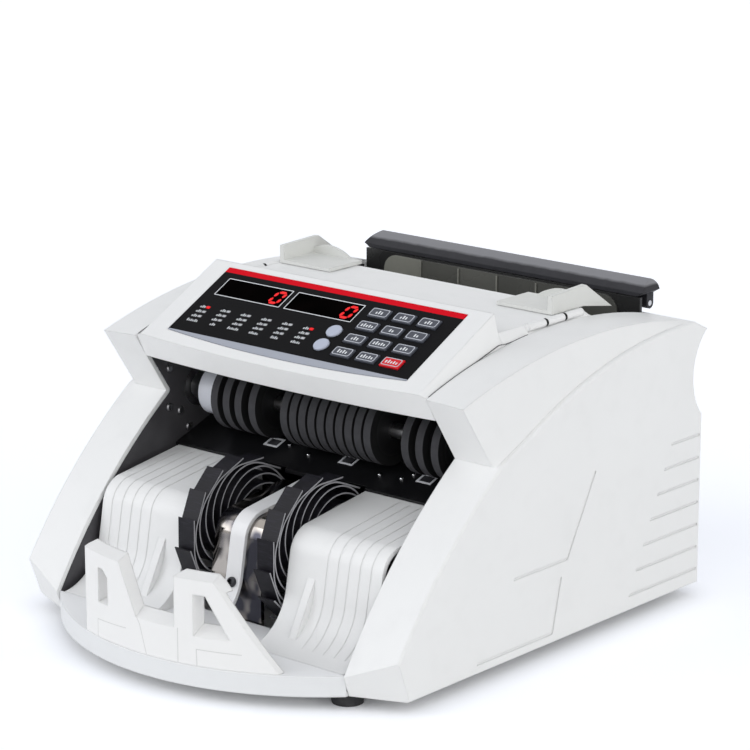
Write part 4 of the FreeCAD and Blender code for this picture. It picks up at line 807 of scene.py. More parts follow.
# The support's pale crest colour is a painted sheen.
SUPPORT = SheenBar("support", (0.034, 0.034, 0.039), sheen_colour=(0.25, 0.25, 0.265), sheen_low=0.168,
                    sheen_high=0.1692)
FITTING = Moulding("fitting", (0.02, 0.02, 0.022), roughness=0.34, uneven=0.1)
PULLEY = Moulding("pulley", (0.05, 0.05, 0.052), roughness=0.34, uneven=0.1)
SLATE_KEY = KeyCap("slate_key", (0.066, 0.072, 0.092))
RED_KEY = KeyCap("red_key", (0.68, 0.006, 0.016))
GREY_KEY = KeyCap("grey_key", (0.49, 0.53, 0.64), uneven=0.05)
FRAME_COAT = PowderCoat("frame_coat", (0.06, 0.058, 0.063), (0.12, 0.12, 0.125))
SENSOR_COAT = PowderCoat("sensor_coat", (0.006, 0.006, 0.007), (0.03, 0.03, 0.032), 0.35)
MOTOR_COAT = PowderCoat("motor_coat", (0.2, 0.2, 0.21), (0.3, 0.3, 0.3), 0.35)
STEEL = TurnedSteel("ground_steel", (0.62, 0.62, 0.63))
SCREW_STEEL = TurnedSteel("screw_steel", (0.3, 0.3, 0.31), 0.3)
DARK_STEEL = TurnedSteel("dark_steel", (0.07, 0.07, 0.075), 0.35)
# The bracket's dark and pale patches are painted reflections.
CHROME = BrightPlate("bright_plate", (0.4, 0.37, 0.34), (0.06, 0.06, 0.075))
SILVER = BrightPlate("silver_plate", (0.9, 0.9, 0.92), (0.5, 0.5, 0.52), amount=0.5, wear=0.075)
# The sensor rims' pale colour is a painted reflection of bright chrome bands.
RIM_REFLECTION = Moulding("sensor_rim", (0.8, 0.81, 0.85), 0.24, edge=0.0002)
FOOT_RUBBER = PlainRubber("foot_rubber", (0.018, 0.018, 0.02))
BELT_RUBBER = PlainRubber("belt_rubber", (0.02, 0.02, 0.02))
# Colour of the dark strips laid in the cover seams: painted shade.
SEAM_SHADE = PlainRubber("seam", (0.09, 0.09, 0.095))
LENS = GlossSheet("display_lens", (0.001, 0.001, 0.001), (0.003, 0.002, 0.002), 0.3, specular=0.0)
SENSOR_LENS = GlossSheet("sensor_lens", (0.03, 0.03, 0.035), (0.12, 0.12, 0.13), 0.08)
DARK_LAMP = GlossSheet("dark_lamp", (0.5, 0.51, 0.54), (0.62, 0.62, 0.65), 0.2)
VENT_SHADE = PrintedInk("vent_shade", (0.012, 0.012, 0.013), roughness=0.7)
BOARD = BoardLacquer("board", (0.012, 0.09, 0.035), (0.04, 0.16, 0.07))
CORE = Laminations("core", (0.12, 0.1, 0.085))
WHITE_INK = PrintedInk("white_ink", (0.78, 0.8, 0.83))
KEY_INK = PrintedInk("key_ink", (0.56, 0.58, 0.64))
LIT_RED = PrintedInk("lit_red", (0.76, 0.004, 0.006), glow=0.35, roughness=0.3)
FLOOR_PAPER = StudioFloor("floor_paper", (0.93, 0.93, 0.93), lift=(0.295, 0.312, 0.36))


class Body(str, Enum):
    """Rigid bodies that added pieces ride on, besides the keys' own."""

    CHASSIS = "chassis"
    COUNTING = "counting_roller"
    ROCKER = "power_rocker"


class Drive(Enum):
    """Shape of the recess in a screw's head."""

    CROSS = "cross"
    HEX = "hex"

    def reach(self, turn: float, size: float) -> float:
        """Distance from the screw's middle to the recess's edge.

        Args:
            turn: angle round the screw in radians.
            size: half the recess's width.

        Returns:
            The distance.
        """
        if self is Drive.HEX:
            return size / math.cos(turn % (math.pi / 3) - math.pi / 6)
        along, across = max(abs(math.cos(turn)), 1e-6), max(abs(math.sin(turn)), 1e-6)
        slim = size * math.tan(math.pi / 12)
        return max(min(size / along, slim / across), min(slim / along, size / across))


class Side(Enum):
    """Sides of the machine to look from, each with the direction of the look."""

    FRONT = (0.0, 1.0, 0.0)
    BACK = (0.0, -1.0, 0.0)
    TOP = (0.0, 0.0, -1.0)
    BOTTOM = (0.0, 0.0, 1.0)


class Surface:
    """Outside of a CAD node, to seat added pieces on."""

    FAR: float = 0.3

    def __init__(self, node: str) -> None:
        """Read the mesh of a CAD node.

        Args:
            node: the node's name.
        """
        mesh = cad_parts[node].data
        faces = [tuple(polygon.vertices) for polygon in mesh.polygons]
        self.tree = BVHTree.FromPolygons([vertex.co for vertex in mesh.vertices], faces)

    def meet(self, side: Side, x: float, other: float) -> Tuple[Vector, Vector]:
        """Where a look from one side first meets the surface.

        Args:
            side: where the look comes from.
            x: its place across the machine.
            other: its height, or from the top or bottom its place along the depth.

        Returns:
            The point, and the surface's outward direction there.
        """
        look = Vector(side.value)
        start = Vector((x, 0.0, other) if look.y else (x, other, 0.0))
        place, normal, _, _ = self.tree.ray_cast(start - look * self.FAR, look)
        return place, normal


def ring(centre: Vector, out: Vector, shape: Callable[[float], float], steps: int = 24) -> List[Vector]:
    """Closed loop of points round an axis.

    Args:
        centre: its middle.
        out: direction of the axis.
        shape: the radius at an angle.
        steps: how many points it has.

    Returns:
        The points in order.
    """
    first = ACROSS if abs(out.x) < 0.9 else ALONG
    second = out.cross(first).normalized()
    first = second.cross(out)
    turns = [2 * math.pi * k / steps for k in range(steps)]
    return [centre + (first * math.cos(t) + second * math.sin(t)) * shape(t) for t in turns]


class Dresser:
    """Gives finishes to the CAD nodes and keeps count of what is done."""

    def __init__(self) -> None:
        """Start with nothing dressed."""
        self.done: List[str] = []

    def dress(self, finish: Finish, *nodes: str) -> None:
        """Give nodes a finish.

        Args:
            finish: what they get.
            nodes: names of CAD nodes.
        """
        for name in nodes:
            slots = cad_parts[name].data.materials
            slots.clear()
            slots.append(finish.material())
            self.done.append(name)
            LOG.info("%s: %s", name, finish.name)

    def left(self) -> List[str]:
        """CAD nodes that have no finish yet."""
        return sorted(set(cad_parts) - set(self.done))


class Maker:
    """Collects faces of one added piece and turns them into an object."""

    HEAD: Tuple[Flat, ...] = ((1.0, 0.0), (1.0, 0.45), (0.9, 0.85), (0.74, 1.0))
    RECESS: Tuple[Flat, ...] = ((0.56, 1.0), (0.48, 0.2))

    def __init__(self, name: str) -> None:
        """Start an empty mesh for a piece of that name."""
        self.name = name
        self.mesh = bmesh.new()

    def _skin(self, loops: Sequence[Sequence[Vector]], closed: bool) -> List[List[bmesh.types.BMVert]]:
        """Add faces between each loop and the next one.

        Args:
            loops: loops of equal counts in order.
            closed: whether the last loop joins the first one.

        Returns:
            The corners of each loop.
        """
        rings = [[self.mesh.verts.new(p) for p in loop] for loop in loops]
        following = rings[1:] + (rings[:1] if closed else [])
        count = len(rings[0])
        for first, second in zip(rings, following):
            for k in range(count):
                m = (k + 1) % count
                self.mesh.faces.new((first[k], first[m], second[m], second[k]))
        return rings

    def loft(self, loops: Sequence[Sequence[Vector]]) -> None:
        """Add a closed skin through loops of equal counts, capped at both ends.

        Args:
            loops: the loops in order.
        """
        rings = self._skin(loops, closed=False)
        self.mesh.faces.new(rings[0][::-1])
        self.mesh.faces.new(rings[-1])

    def band(self, outer: Sequence[Vector], inner: Sequence[Vector], lift: Vector) -> None:
        """Add a closed frame between an outer and an inner loop of equal counts, raised by a lift."""
        self._skin((outer, [p + lift for p in outer], [p + lift for p in inner], inner), closed=True)

    def plate(self, loop: Sequence[Vector], lift: Vector, draft: float = 1.0) -> None:
        """Add a closed plate over a loop, raised by a lift, whose top is smaller by a draft."""
        centre = sum(loop, Vector()) / len(loop)
        self.loft([loop, [centre + (p - centre) * draft + lift for p in loop]])

    def ribbon(self, line: Sequence[Vector], outs: Sequence[Vector], width: float, height: float) -> None:
        """Add a thin raised line along a surface.

        Args:
            line: its points.
            outs: the surface's outward direction at each point.
            width: its width.
            height: how far it stands proud.
        """
        loops = []
        for k, (point, out) in enumerate(zip(line, outs)):
            run = line[min(k + 1, len(line) - 1)] - line[max(k - 1, 0)]
            side = run.cross(out).normalized() * width / 2
            low, high = point - out * height, point + out * height
            loops.append([low - side, low + side, high + side, high - side])
        self.loft(loops)

    def screw(self, seat: Tuple[Vector, Vector], radius: float, height: float, drive: Drive) -> None:
        """Add a round screw head with a recess.

        Args:
            seat: middle of its underside, and the way its head faces.
            radius: its radius.
            height: how tall it is.
            drive: shape of its recess.
        """
        foot, out = seat
        loops = [ring(foot + out * height * rise, out, lambda _, r=radius * share: r)
                 for share, rise in self.HEAD]
        loops += [ring(foot + out * height * rise, out, lambda turn, r=radius * share: drive.reach(turn, r))
                  for share, rise in self.RECESS]
        self.loft(loops)

    def finish(self, finish: Finish, slot: str, body: str = Body.CHASSIS.value) -> None:
        """Turn the faces into an object that rides on a body.

        Args:
            finish: its surface.
            slot: name of the record's material slot for the piece; not used.
            body: what it moves with.
        """
        bmesh.ops.recalc_face_normals(self.mesh, faces=self.mesh.faces)
        data = bpy.data.meshes.new(self.name)
        self.mesh.to_mesh(data)
        self.mesh.free()
        data.materials.append(finish.material())
        piece = bpy.data.objects.new(self.name, data)
        bpy.context.scene.collection.objects.link(piece)
        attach(piece, body)
        LOG.info("%s: added, %d faces", self.name, len(data.polygons))


class Assembly:
    """A sub-assembly: it adds what the CAD lacks, then dresses its CAD nodes."""

    def build(self) -> None:
        """Add its own pieces."""
        raise NotImplementedError

    def dress(self, dresser: Dresser) -> None:
        """Give its nodes their finishes."""
        raise NotImplementedError


@dataclass
class Console(Assembly):
    """The sloping control panel with its displays, lamps and keys."""

    origin: Flat = (-0.0428, 0.1503)
    slope: float = 27.1
    stripe_start: float = 0.0501
    chord: float = 0.0006
    film_black: Colour = (0.006, 0.006, 0.007)
    film_red: Colour = (0.72, 0.005, 0.016)
    film_grey: Colour = (0.42, 0.44, 0.5)
    film_top: float = 0.0002
    ink: float = 0.00006
    key_top: float = 0.0012
    key_window: Flat = (0.0104, 0.0048)
    key_first: Flat = (0.0333, 0.0093)
    key_pitch: Flat = (0.0163, 0.01085)
    key_line: float = 0.0005
    key_corners: Flat = (0.0013, 0.0009)
    red_key: str = "key_1_3"
    mark_size: Flat = (0.0007, 0.002)
    mark_gap: float = 0.0006
    mark_corner: float = 0.0002
    mark_heights: Tuple[float, ...] = (1.0, 0.65, 0.85, 0.6, 1.0, 0.75)
    key_mark_scale: float = 1.3
    key_marks: Tuple[Tuple[int, ...], ...] = ((4, 5, 5), (3, 5, 3), (5, 2, 2), (3, 3, 3))
    lamp_marks: int = 3
    lamp_mark_step: float = 0.0036
    title_marks: Tuple[int, ...] = (6, 3, 6, 5, 4, 5)
    title_step: float = 0.002
    display_size: Flat = (0.045, 0.013)
    displays: Tuple[Flat, ...] = ((-0.052, 0.0388), (-0.0025, 0.0388))
    display_gap: float = 0.0003
    display_line: float = 0.0005
    display_corners: Flat = (0.0004, 0.0002)
    digit_size: Flat = (0.0056, 0.0088)
    digit_stroke: float = 0.0019
    digit_split: float = 0.35
    digit_lean: float = 0.12
    digit_inset: float = 0.0034
    digit_foot: float = 0.00001
    lamp_first: Flat = (-0.0705, 0.0136)
    lamp_pitch: Flat = (0.0146, 0.0038)
    lamp_columns: int = 6
    lamp_rows: int = 3
    lit_columns: Tuple[int, ...] = (0, 5)
    lit_size: Flat = (0.0026, 0.0018)
    lit_corner: float = 0.0004
    lit_height: float = 0.0003
    lit_draft: float = 0.8

    def at(self, x: float, rise: float, out: float) -> Vector:
        """A point of the console.

        Args:
            x: place across the machine.
            rise: place up the slope from the panel's lower edge.
            out: place out of the panel's seat.

        Returns:
            The point in the machine's frame.
        """
        angle = math.radians(self.slope)
        along, up = math.cos(angle), math.sin(angle)
        y, z = self.origin
        return Vector((x, y + rise * along - out * up, z + rise * up + out * along))

    def lift(self, height: float) -> Vector:
        """A step out of the panel."""
        return self.at(0, 0, height) - self.at(0, 0, 0)

    def outline(self, centre: Flat, size: Flat, corner: float, out: float, steps: int = 4) -> List[Vector]:
        """Rounded rectangle on the panel.

        Args:
            centre: its middle.
            size: its width and length.
            corner: radius of its corners.
            out: height above the panel's seat.
            steps: points on each corner, less one.

        Returns:
            Its points in order.
        """
        points = []
        for k, (sx, sy) in enumerate(((1, 1), (-1, 1), (-1, -1), (1, -1))):
            x, rise = centre[0] + sx * (size[0] / 2 - corner), centre[1] + sy * (size[1] / 2 - corner)
            for i in range(steps + 1):
                turn = math.radians(90 * k + 90 * i / steps)
                points.append(self.at(x + corner * math.cos(turn), rise + corner * math.sin(turn), out))
        return points

    def build(self) -> None:
        """Add the printed lines and marks, the digits and the lit lamps."""
        for row, counts in enumerate(self.key_marks):
            for column, count in enumerate(counts):
                self._key_print(row, column, count)
        self._display_lines()
        self._digits()
        self._lamps()

    def _marks(self, maker: Maker, centre: Flat, count: int, out: float, scale: float = 1.0) -> None:
        """Add a row of small printed marks of differing heights.

        Args:
            maker: what collects the faces.
            centre: the row's middle on the panel.
            count: how many marks it has.
            out: height of the surface it is printed on.
            scale: their size.
        """
        wide, full = self.mark_size[0] * scale, self.mark_size[1] * scale
        pitch = wide + self.mark_gap * scale
        for k in range(count):
            tall = full * self.mark_heights[(k + count) % len(self.mark_heights)]
            place = (centre[0] + (k - (count - 1) / 2) * pitch, centre[1] - (full - tall) / 2)
            maker.plate(self.outline(place, (wide, tall), self.mark_corner, out - self.ink / 2),
                        self.lift(self.ink))

    def _frame(self, maker: Maker, centre: Flat, inner: Flat, line: float, corners: Flat,
               out: float) -> None:
        """Add a thin printed frame.

        Args:
            maker: what collects the faces.
            centre: its middle on the panel.
            inner: width and length inside it.
            line: width of its line.
            corners: radii of its outer and inner corners.
            out: height of the surface it is printed on.
        """
        outer = (inner[0] + 2 * line, inner[1] + 2 * line)
        loops = [self.outline(centre, size, corner, out - self.ink / 2)
                 for size, corner in zip((outer, inner), corners)]
        maker.band(*loops, self.lift(self.ink))

    def _key_print(self, row: int, column: int, count: int) -> None:
        """Add a key's printed outline and its marks, which move with the key.

        Args:
            row: the key's row from below.
            column: its column from the left.
            count: how many marks it has.
        """
        name = f"key_{row + 1}_{column + 1}"
        slot = "key_red" if name == self.red_key else "key_slate"
        first, pitch = self.key_first, self.key_pitch
        centre = (first[0] + column * pitch[0], first[1] + row * pitch[1])
        edge = Maker(f"{name}_outline")
        self._frame(edge, centre, self.key_window, self.key_line, self.key_corners, self.key_top)
        edge.finish(KEY_INK, slot, f"{name}_button")
        marks = Maker(f"{name}_marks")
        self._marks(marks, centre, count, self.key_top, self.key_mark_scale)
        marks.finish(WHITE_INK, slot, f"{name}_button")

    def _display_lines(self) -> None:
        """Add the thin pale frames round the displays."""
        maker = Maker("display_frames")
        inner = (self.display_size[0] + self.display_gap, self.display_size[1] + self.display_gap)
        for centre in self.displays:
            self._frame(maker, centre, inner, self.display_line, self.display_corners, self.film_top)
        maker.finish(WHITE_INK, "panel")

    def _digits(self) -> None:
        """Add a leaning seven-bar nought at the right of each display."""
        maker = Maker("display_digits")
        width, height = self.digit_size
        middle = height / 2
        bars = [((0, level), (width, level)) for level in (0, height)]
        bars += [((x, low), (x, low + middle)) for x in (0, width) for low in (0, middle)]
        for x, rise in self.displays:
            corner = (x + self.display_size[0] / 2 - self.digit_inset - width, rise - middle)
            for start, end in bars:
                self._bar(maker, corner, Vector(start), Vector(end))
        maker.finish(LIT_RED, "display")

    def _bar(self, maker: Maker, corner: Flat, start: Vector, end: Vector) -> None:
        """Add one pointed bar of a digit.

        Args:
            maker: what collects the faces.
            corner: the digit's lower left corner on the panel.
            start: one end of the bar.
            end: the other end.
        """
        inset = (end - start).normalized() * self.digit_stroke / 2
        side = Vector((-inset.y, inset.x))
        first, last = start + inset * self.digit_split, end - inset * self.digit_split
        shape = (first, first + inset - side, last - inset - side, last, last - inset + side,
                 first + inset + side)
        points = [self.at(corner[0] + p.x + p.y * self.digit_lean, corner[1] + p.y, self.digit_foot)
                  for p in shape]
        maker.plate(points, self.lift(self.ink))

    def _lamps(self) -> None:
        """Add the lit lamps, the marks beside every lamp and those under each column."""
        lit = Maker("lit_lamps")
        marks = Maker("lamp_marks")
        for column in range(self.lamp_columns):
            x = self.lamp_first[0] + column * self.lamp_pitch[0]
            for row in range(self.lamp_rows):
                rise = self.lamp_first[1] + row * self.lamp_pitch[1]
                if column in self.lit_columns and row == self.lamp_rows - 1:
                    lit.plate(self.outline((x, rise), self.lit_size, self.lit_corner, self.film_top),
                              self.lift(self.lit_height), self.lit_draft)
                self._marks(marks, (x - self.lamp_mark_step, rise), self.lamp_marks, self.film_top)
            title = (x - self.title_step, self.lamp_first[1] - self.lamp_pitch[1])
            self._marks(marks, title, self.title_marks[column], self.film_top)
        lit.finish(LIT_RED, "lamp")
        marks.finish(WHITE_INK, "panel")

    def dress(self, dresser: Dresser) -> None:
        """Give the console's nodes their finishes.

        Args:
            dresser: what gives them.
        """
        film = Overlay("overlay", self.film_black, self.film_red, self.film_grey, self.origin, self.slope,
                       self.stripe_start, self.chord)
        dresser.dress(film, "control_panel")
        dresser.dress(LENS, "display_windows")
        dresser.dress(DARK_LAMP, "mode_lamps")
        keys = [f"key_{row}_{column}" for row in range(1, 5) for column in range(1, 4)]
        keys.remove(self.red_key)
        dresser.dress(SLATE_KEY, *keys)
        dresser.dress(RED_KEY, self.red_key)
        dresser.dress(GREY_KEY, "lower_round_key", "upper_round_key")


@dataclass
class Housing(Assembly):
    """The moulded covers and the feet."""

    screw_radius: float = 0.0029
    screw_height: float = 0.0013
    rear_screw_x: float = 0.089
    rear_screw_heights: Tuple[float, ...] = (0.02, 0.092)
    base_screw_x: float = 0.07
    base_screw_places: Tuple[float, ...] = (-0.085, 0.02, 0.125)
    seam_x: float = 0.09985
    seam_start: float = -0.047
    seam_end: float = 0.032
    seam_steps: int = 26
    seam_width: float = 0.0006
    seam_height: float = 0.0001
    louvre_x: float = 0.045
    louvre_low: float = 0.03
    louvre_pitch: float = 0.0085
    louvre_count: int = 6
    hood_size: Flat = (0.056, 0.0036)
    hood_proud: float = 0.0016
    hood_taper: float = 0.004
    hood_edge: float = 0.0006
    hood_fall: float = 0.8
    hood_sink: float = 0.0001
    slot_height: float = 0.002
    slot_inset: float = 0.001
    slot_proud: float = 0.00005

    def build(self) -> None:
        """Add the screws, the rear louvres and the strips of painted shade in the seams."""
        rear, base = Surface("rear_cover"), Surface("base_pan")
        seats = [rear.meet(Side.BACK, side * self.rear_screw_x, height)
                 for height in self.rear_screw_heights for side in (-1, 1)]
        seats += [base.meet(Side.BOTTOM, side * self.base_screw_x, place)
                  for place in self.base_screw_places for side in (-1, 1)]
        screws = Maker("cover_screws")
        for seat in seats:
            screws.screw(seat, self.screw_radius, self.screw_height, Drive.CROSS)
        screws.finish(SCREW_STEEL, "screw")
        self._louvres(rear)
        self._seams()

    def _seams(self) -> None:
        """Add dark strips of painted shade in the seams between the head cover and the side covers."""
        maker = Maker("cover_seam_shade")
        head = Surface("head_cover")
        for side, node in ((-1, "left_side_cover"), (1, "right_side_cover")):
            cover = Surface(node)
            line = []
            for k in range(self.seam_steps + 1):
                y = self.seam_start + (self.seam_end - self.seam_start) * k / self.seam_steps
                tops = [surface.meet(Side.TOP, side * (self.seam_x + reach), y)[0].z
                        for surface, reach in ((cover, self.seam_width), (head, -self.seam_width))]
                line.append(Vector((side * self.seam_x, y, max(tops))))
            # The dark ribbon stands for the shade inside the seam.
            maker.ribbon(line, [UPWARDS] * len(line), self.seam_width, self.seam_height)
        maker.finish(SEAM_SHADE, "fitting")

    def _louvres(self, rear: Surface) -> None:
        """Add hoods over dark plates of painted shade in the slots.

        Args:
            rear: the rear cover.
        """
        hoods = Maker("rear_louvres")
        slots = Maker("louvre_slots")
        half = self.hood_size[0] / 2
        ends = ((-half, 0.0), (self.hood_taper - half, 1.0), (half - self.hood_taper, 1.0), (half, 0.0))
        for k in range(self.louvre_count):
            place, out = rear.meet(Side.BACK, self.louvre_x, self.louvre_low + k * self.louvre_pitch)
            up = ACROSS.cross(-out)
            sink = out * self.hood_sink
            loops = []
            for reach, share in ends:
                end, lip = place + ACROSS * reach, out * self.hood_proud * share
                loops.append([end - sink, end + lip + sink,
                              end + lip * self.hood_fall + up * self.hood_edge + sink,
                              end + up * self.hood_size[1] - sink])
            hoods.loft(loops)
            foot, edge = place - up * self.slot_height, ACROSS * (half - self.slot_inset)
            # The dark plate stands for the shade inside the slot: painted shade.
            slots.plate([foot - edge, foot + edge, place + edge, place - edge], out * self.slot_proud)
        hoods.finish(SHELL, "shell")
        slots.finish(VENT_SHADE, "fitting")

    def dress(self, dresser: Dresser) -> None:
        """Give the covers their finishes.

        Args:
            dresser: what gives them.
        """
        dresser.dress(SHELL, "base_pan", "left_side_cover", "right_side_cover", "rear_cover", "head_cover",
                      "left_stacker_bed", "right_stacker_bed")
        dresser.dress(APRON, "front_apron")
        dresser.dress(FOOT_RUBBER, "rubber_feet")


@dataclass
class Transport(Assembly):
    """Counting discs, feed rollers and the dark frame round them."""

    counting_axle: Flat = (-0.001, 0.108)
    disc_rubber: Colour = (0.036, 0.036, 0.04)
    disc_hub: Colour = (0.01, 0.01, 0.011)
    disc_radii: Flat = (0.0135, 0.019)
    feed_axle: Flat = (0.070444, 0.104732)
    feed_rubber: Colour = (0.07, 0.07, 0.075)
    feed_hub: Colour = (0.015, 0.015, 0.016)
    feed_radii: Flat = (0.012, 0.017)
    sensors: Tuple[float, ...] = (-0.0435, 0.0095, 0.0625)
    sensor_y: float = -0.0025
    sensor_size: Flat = (0.0074, 0.0054)
    rim_width: float = 0.0012
    rim_height: float = 0.0003
    rim_sink: float = 0.00005
    screws: Tuple[Flat, ...] = ((-0.0331, -0.0018), (-0.016, -0.0058), (0.035, -0.0077), (0.049, -0.0067),
                                (0.0529, -0.0017))
    screw_radius: float = 0.0012
    screw_height: float = 0.00096
    collar_reach: Flat = (-0.0995, -0.0883)
    collar_radius: float = 0.0075
    collar_steps: int = 32

    def build(self) -> None:
        """Add the rims of the sensor windows, painted pale as a reflection, the screws between them and a
        collar on the shaft.
        """
        self._rims()
        screws = Maker("sensor_screws")
        plate = Surface("sensor_plate")
        for x, y in self.screws:
            screws.screw(plate.meet(Side.TOP, x, y), self.screw_radius, self.screw_height, Drive.CROSS)
        screws.finish(SILVER, "screw")
        collar = Maker("shaft_collar")
        collar.loft([ring(Vector((x, *self.counting_axle)), ACROSS, lambda _: self.collar_radius,
                          self.collar_steps) for x in self.collar_reach])
        collar.finish(FITTING, "pulley", Body.COUNTING.value)

    def _rims(self) -> None:
        """Add the rims of the sensor windows, painted pale as a reflection."""
        rims = Maker("sensor_rims")
        windows = Surface("sensor_windows")
        for sensor in self.sensors:
            place, out = windows.meet(Side.TOP, sensor, self.sensor_y)
            up = out.cross(ACROSS)
            loops = []
            for grow in (self.rim_width, 0.0):
                wide, tall = (size / 2 + grow for size in self.sensor_size)
                loops.append([place + ACROSS * wide * sx + up * tall * sy - out * self.rim_sink
                              for sx, sy in ((-1, -1), (1, -1), (1, 1), (-1, 1))])
            rims.band(*loops, out * self.rim_height)
        rims.finish(RIM_REFLECTION, "chrome")

    def dress(self, dresser: Dresser) -> None:
        """Give the transport's nodes their finishes.

        Args:
            dresser: what gives them.
        """
        discs = TreadRubber("disc_tread", self.disc_rubber, self.disc_hub, self.counting_axle,
                            *self.disc_radii)
        rollers = TreadRubber("feed_tread", self.feed_rubber, self.feed_hub, self.feed_axle,
                              *self.feed_radii)
        dresser.dress(discs, "counting_discs")
        dresser.dress(rollers, "feed_rollers")
        dresser.dress(ROLLER, "white_roller")
        dresser.dress(FRAME_COAT, "left_frame_plate", "right_frame_plate", "hopper_floor")
        dresser.dress(SENSOR_COAT, "sensor_plate")
        dresser.dress(STEEL, "counting_shaft", "feed_shaft", "impeller_shaft", "tie_rods", "shaft_bearings",
                      "support_pin")
        dresser.dress(SCREW_STEEL, "frame_screws")
        dresser.dress(SENSOR_LENS, "sensor_windows")


@dataclass
class Stacker(Assembly):
    """Impellers, the strip between them and the front note stop."""

    impeller_axle: Flat = (-0.05, 0.0515)
    hub_radius: float = 0.0135
    blade_black: Colour = (0.009, 0.0085, 0.012)
    blade_edge_highlight: Colour = (0.36, 0.36, 0.38)
    lip_radius: float = 0.140036
    stop_radius: float = 0.139536
    lip_front: float = -0.151
    line_width: float = 0.00045
    line_height: float = 0.00005
    line_step: float = 0.003
    lines: Tuple[Tuple[Flat, ...], ...] = (
        ((-0.002, 0.0362), (0.0, 0.033), (0.0043, 0.0182)), ((0.0241, 0.036), (0.0241, 0.0182)),
        ((0.0345, 0.0266), (0.0348, 0.0182)), ((0.0345, 0.0266), (0.0575, 0.0266)),
        ((-0.0335, 0.0272), (-0.0337, 0.0182)), ((-0.0335, 0.0272), (-0.01, 0.0285)))
    screw_z: float = 0.0377
    screw_radius: float = 0.0027
    screw_height: float = 0.00189

    def build(self) -> None:
        """Add the stop's moulded lines and the strip's screw."""
        maker = Maker("stop_lines")
        for line in self.lines:
            self._line(maker, line)
        maker.finish(STOP_LINE, "stop")
        screw = Maker("strip_screw")
        seat = Surface("centre_guide_strip").meet(Side.FRONT, 0.0, self.screw_z)
        screw.screw(seat, self.screw_radius, self.screw_height, Drive.HEX)
        screw.finish(DARK_STEEL, "screw")

    def _line(self, maker: Maker, line: Sequence[Flat]) -> None:
        """Add one line round the bowed front of the stop.

        Args:
            maker: what collects the faces.
            line: places across and heights of its corners.
        """
        points = []
        for (x0, z0), (x1, z1) in zip(line, line[1:]):
            steps = max(1, round(abs(x1 - x0) / self.line_step))
            points += [(x0 + (x1 - x0) * k / steps, z0 + (z1 - z0) * k / steps) for k in range(steps)]
        points.append(line[-1])
        turns = [math.asin(x / self.stop_radius) for x, _ in points]
        outs = [Vector((math.sin(turn), -math.cos(turn), 0.0)) for turn in turns]
        centre = ALONG * (self.lip_front + self.lip_radius)
        path = [centre + out * self.stop_radius + UPWARDS * z for out, (_, z) in zip(outs, points)]
        maker.ribbon(path, outs, self.line_width, self.line_height)

    def dress(self, dresser: Dresser) -> None:
        """Give the stacker's nodes their finishes.

        Args:
            dresser: what gives them.
        """
        blade = GlossBlade("blade", self.blade_black, self.blade_edge_highlight, self.impeller_axle, self.hub_radius)
        dresser.dress(blade, "left_impeller", "right_impeller")
        dresser.dress(STRIP, "centre_guide_strip")
        dresser.dress(CHROME, "centre_bracket")
        dresser.dress(STOP, "front_note_stop")


@dataclass
class Hopper(Assembly):
    """Sliding guides, back plate and the folding support."""

    field_half: float = 0.0818
    field_face: float = 0.1334
    rib_face: float = 0.1325
    sheet_dark: Colour = (0.02, 0.02, 0.02)
    sheet_rib: Colour = (0.26, 0.26, 0.23)
    # Lightness of each pane of the back plate: painted reflections.
    reflection_panes: Tuple[Tuple[float, Colour], ...] = (
        (-0.0818, (0.27, 0.27, 0.235)), (-0.0545, (0.11, 0.11, 0.098)), (-0.0272, (0.14, 0.14, 0.125)),
        (0.0, (0.1, 0.1, 0.09)))
    bead_axis: Flat = (0.0975, 0.1652)
    gap_radius: float = 0.0021
    gap_starts: Tuple[float, ...] = (0.048, 0.0638)
    gap_length: float = 0.0018

    def build(self) -> None:
        """Add dark rings of painted shade in the gaps between the beads beside the deck."""
        gaps = Maker("bead_gaps")
        x, z = self.bead_axis
        for side in (-1, 1):
            for start in self.gap_starts:
                # Each dark ring stands for the shade in a gap between beads.
                gaps.loft([ring(Vector((side * x, y, z)), ALONG, lambda _: self.gap_radius)
                           for y in (start, start + self.gap_length)])
        gaps.finish(VENT_SHADE, "fitting")

    def dress(self, dresser: Dresser) -> None:
        """Give the hopper's nodes their finishes.

        Args:
            dresser: what gives them.
        """
        sheet = SmokySheet("smoky_sheet", self.sheet_dark, self.sheet_rib, self.reflection_panes, self.field_half,
                           self.field_face, self.rib_face)
        dresser.dress(GUIDE, "left_note_guide", "right_note_guide")
        dresser.dress(sheet, "hopper_back_plate")
        dresser.dress(SUPPORT, "rear_note_support")


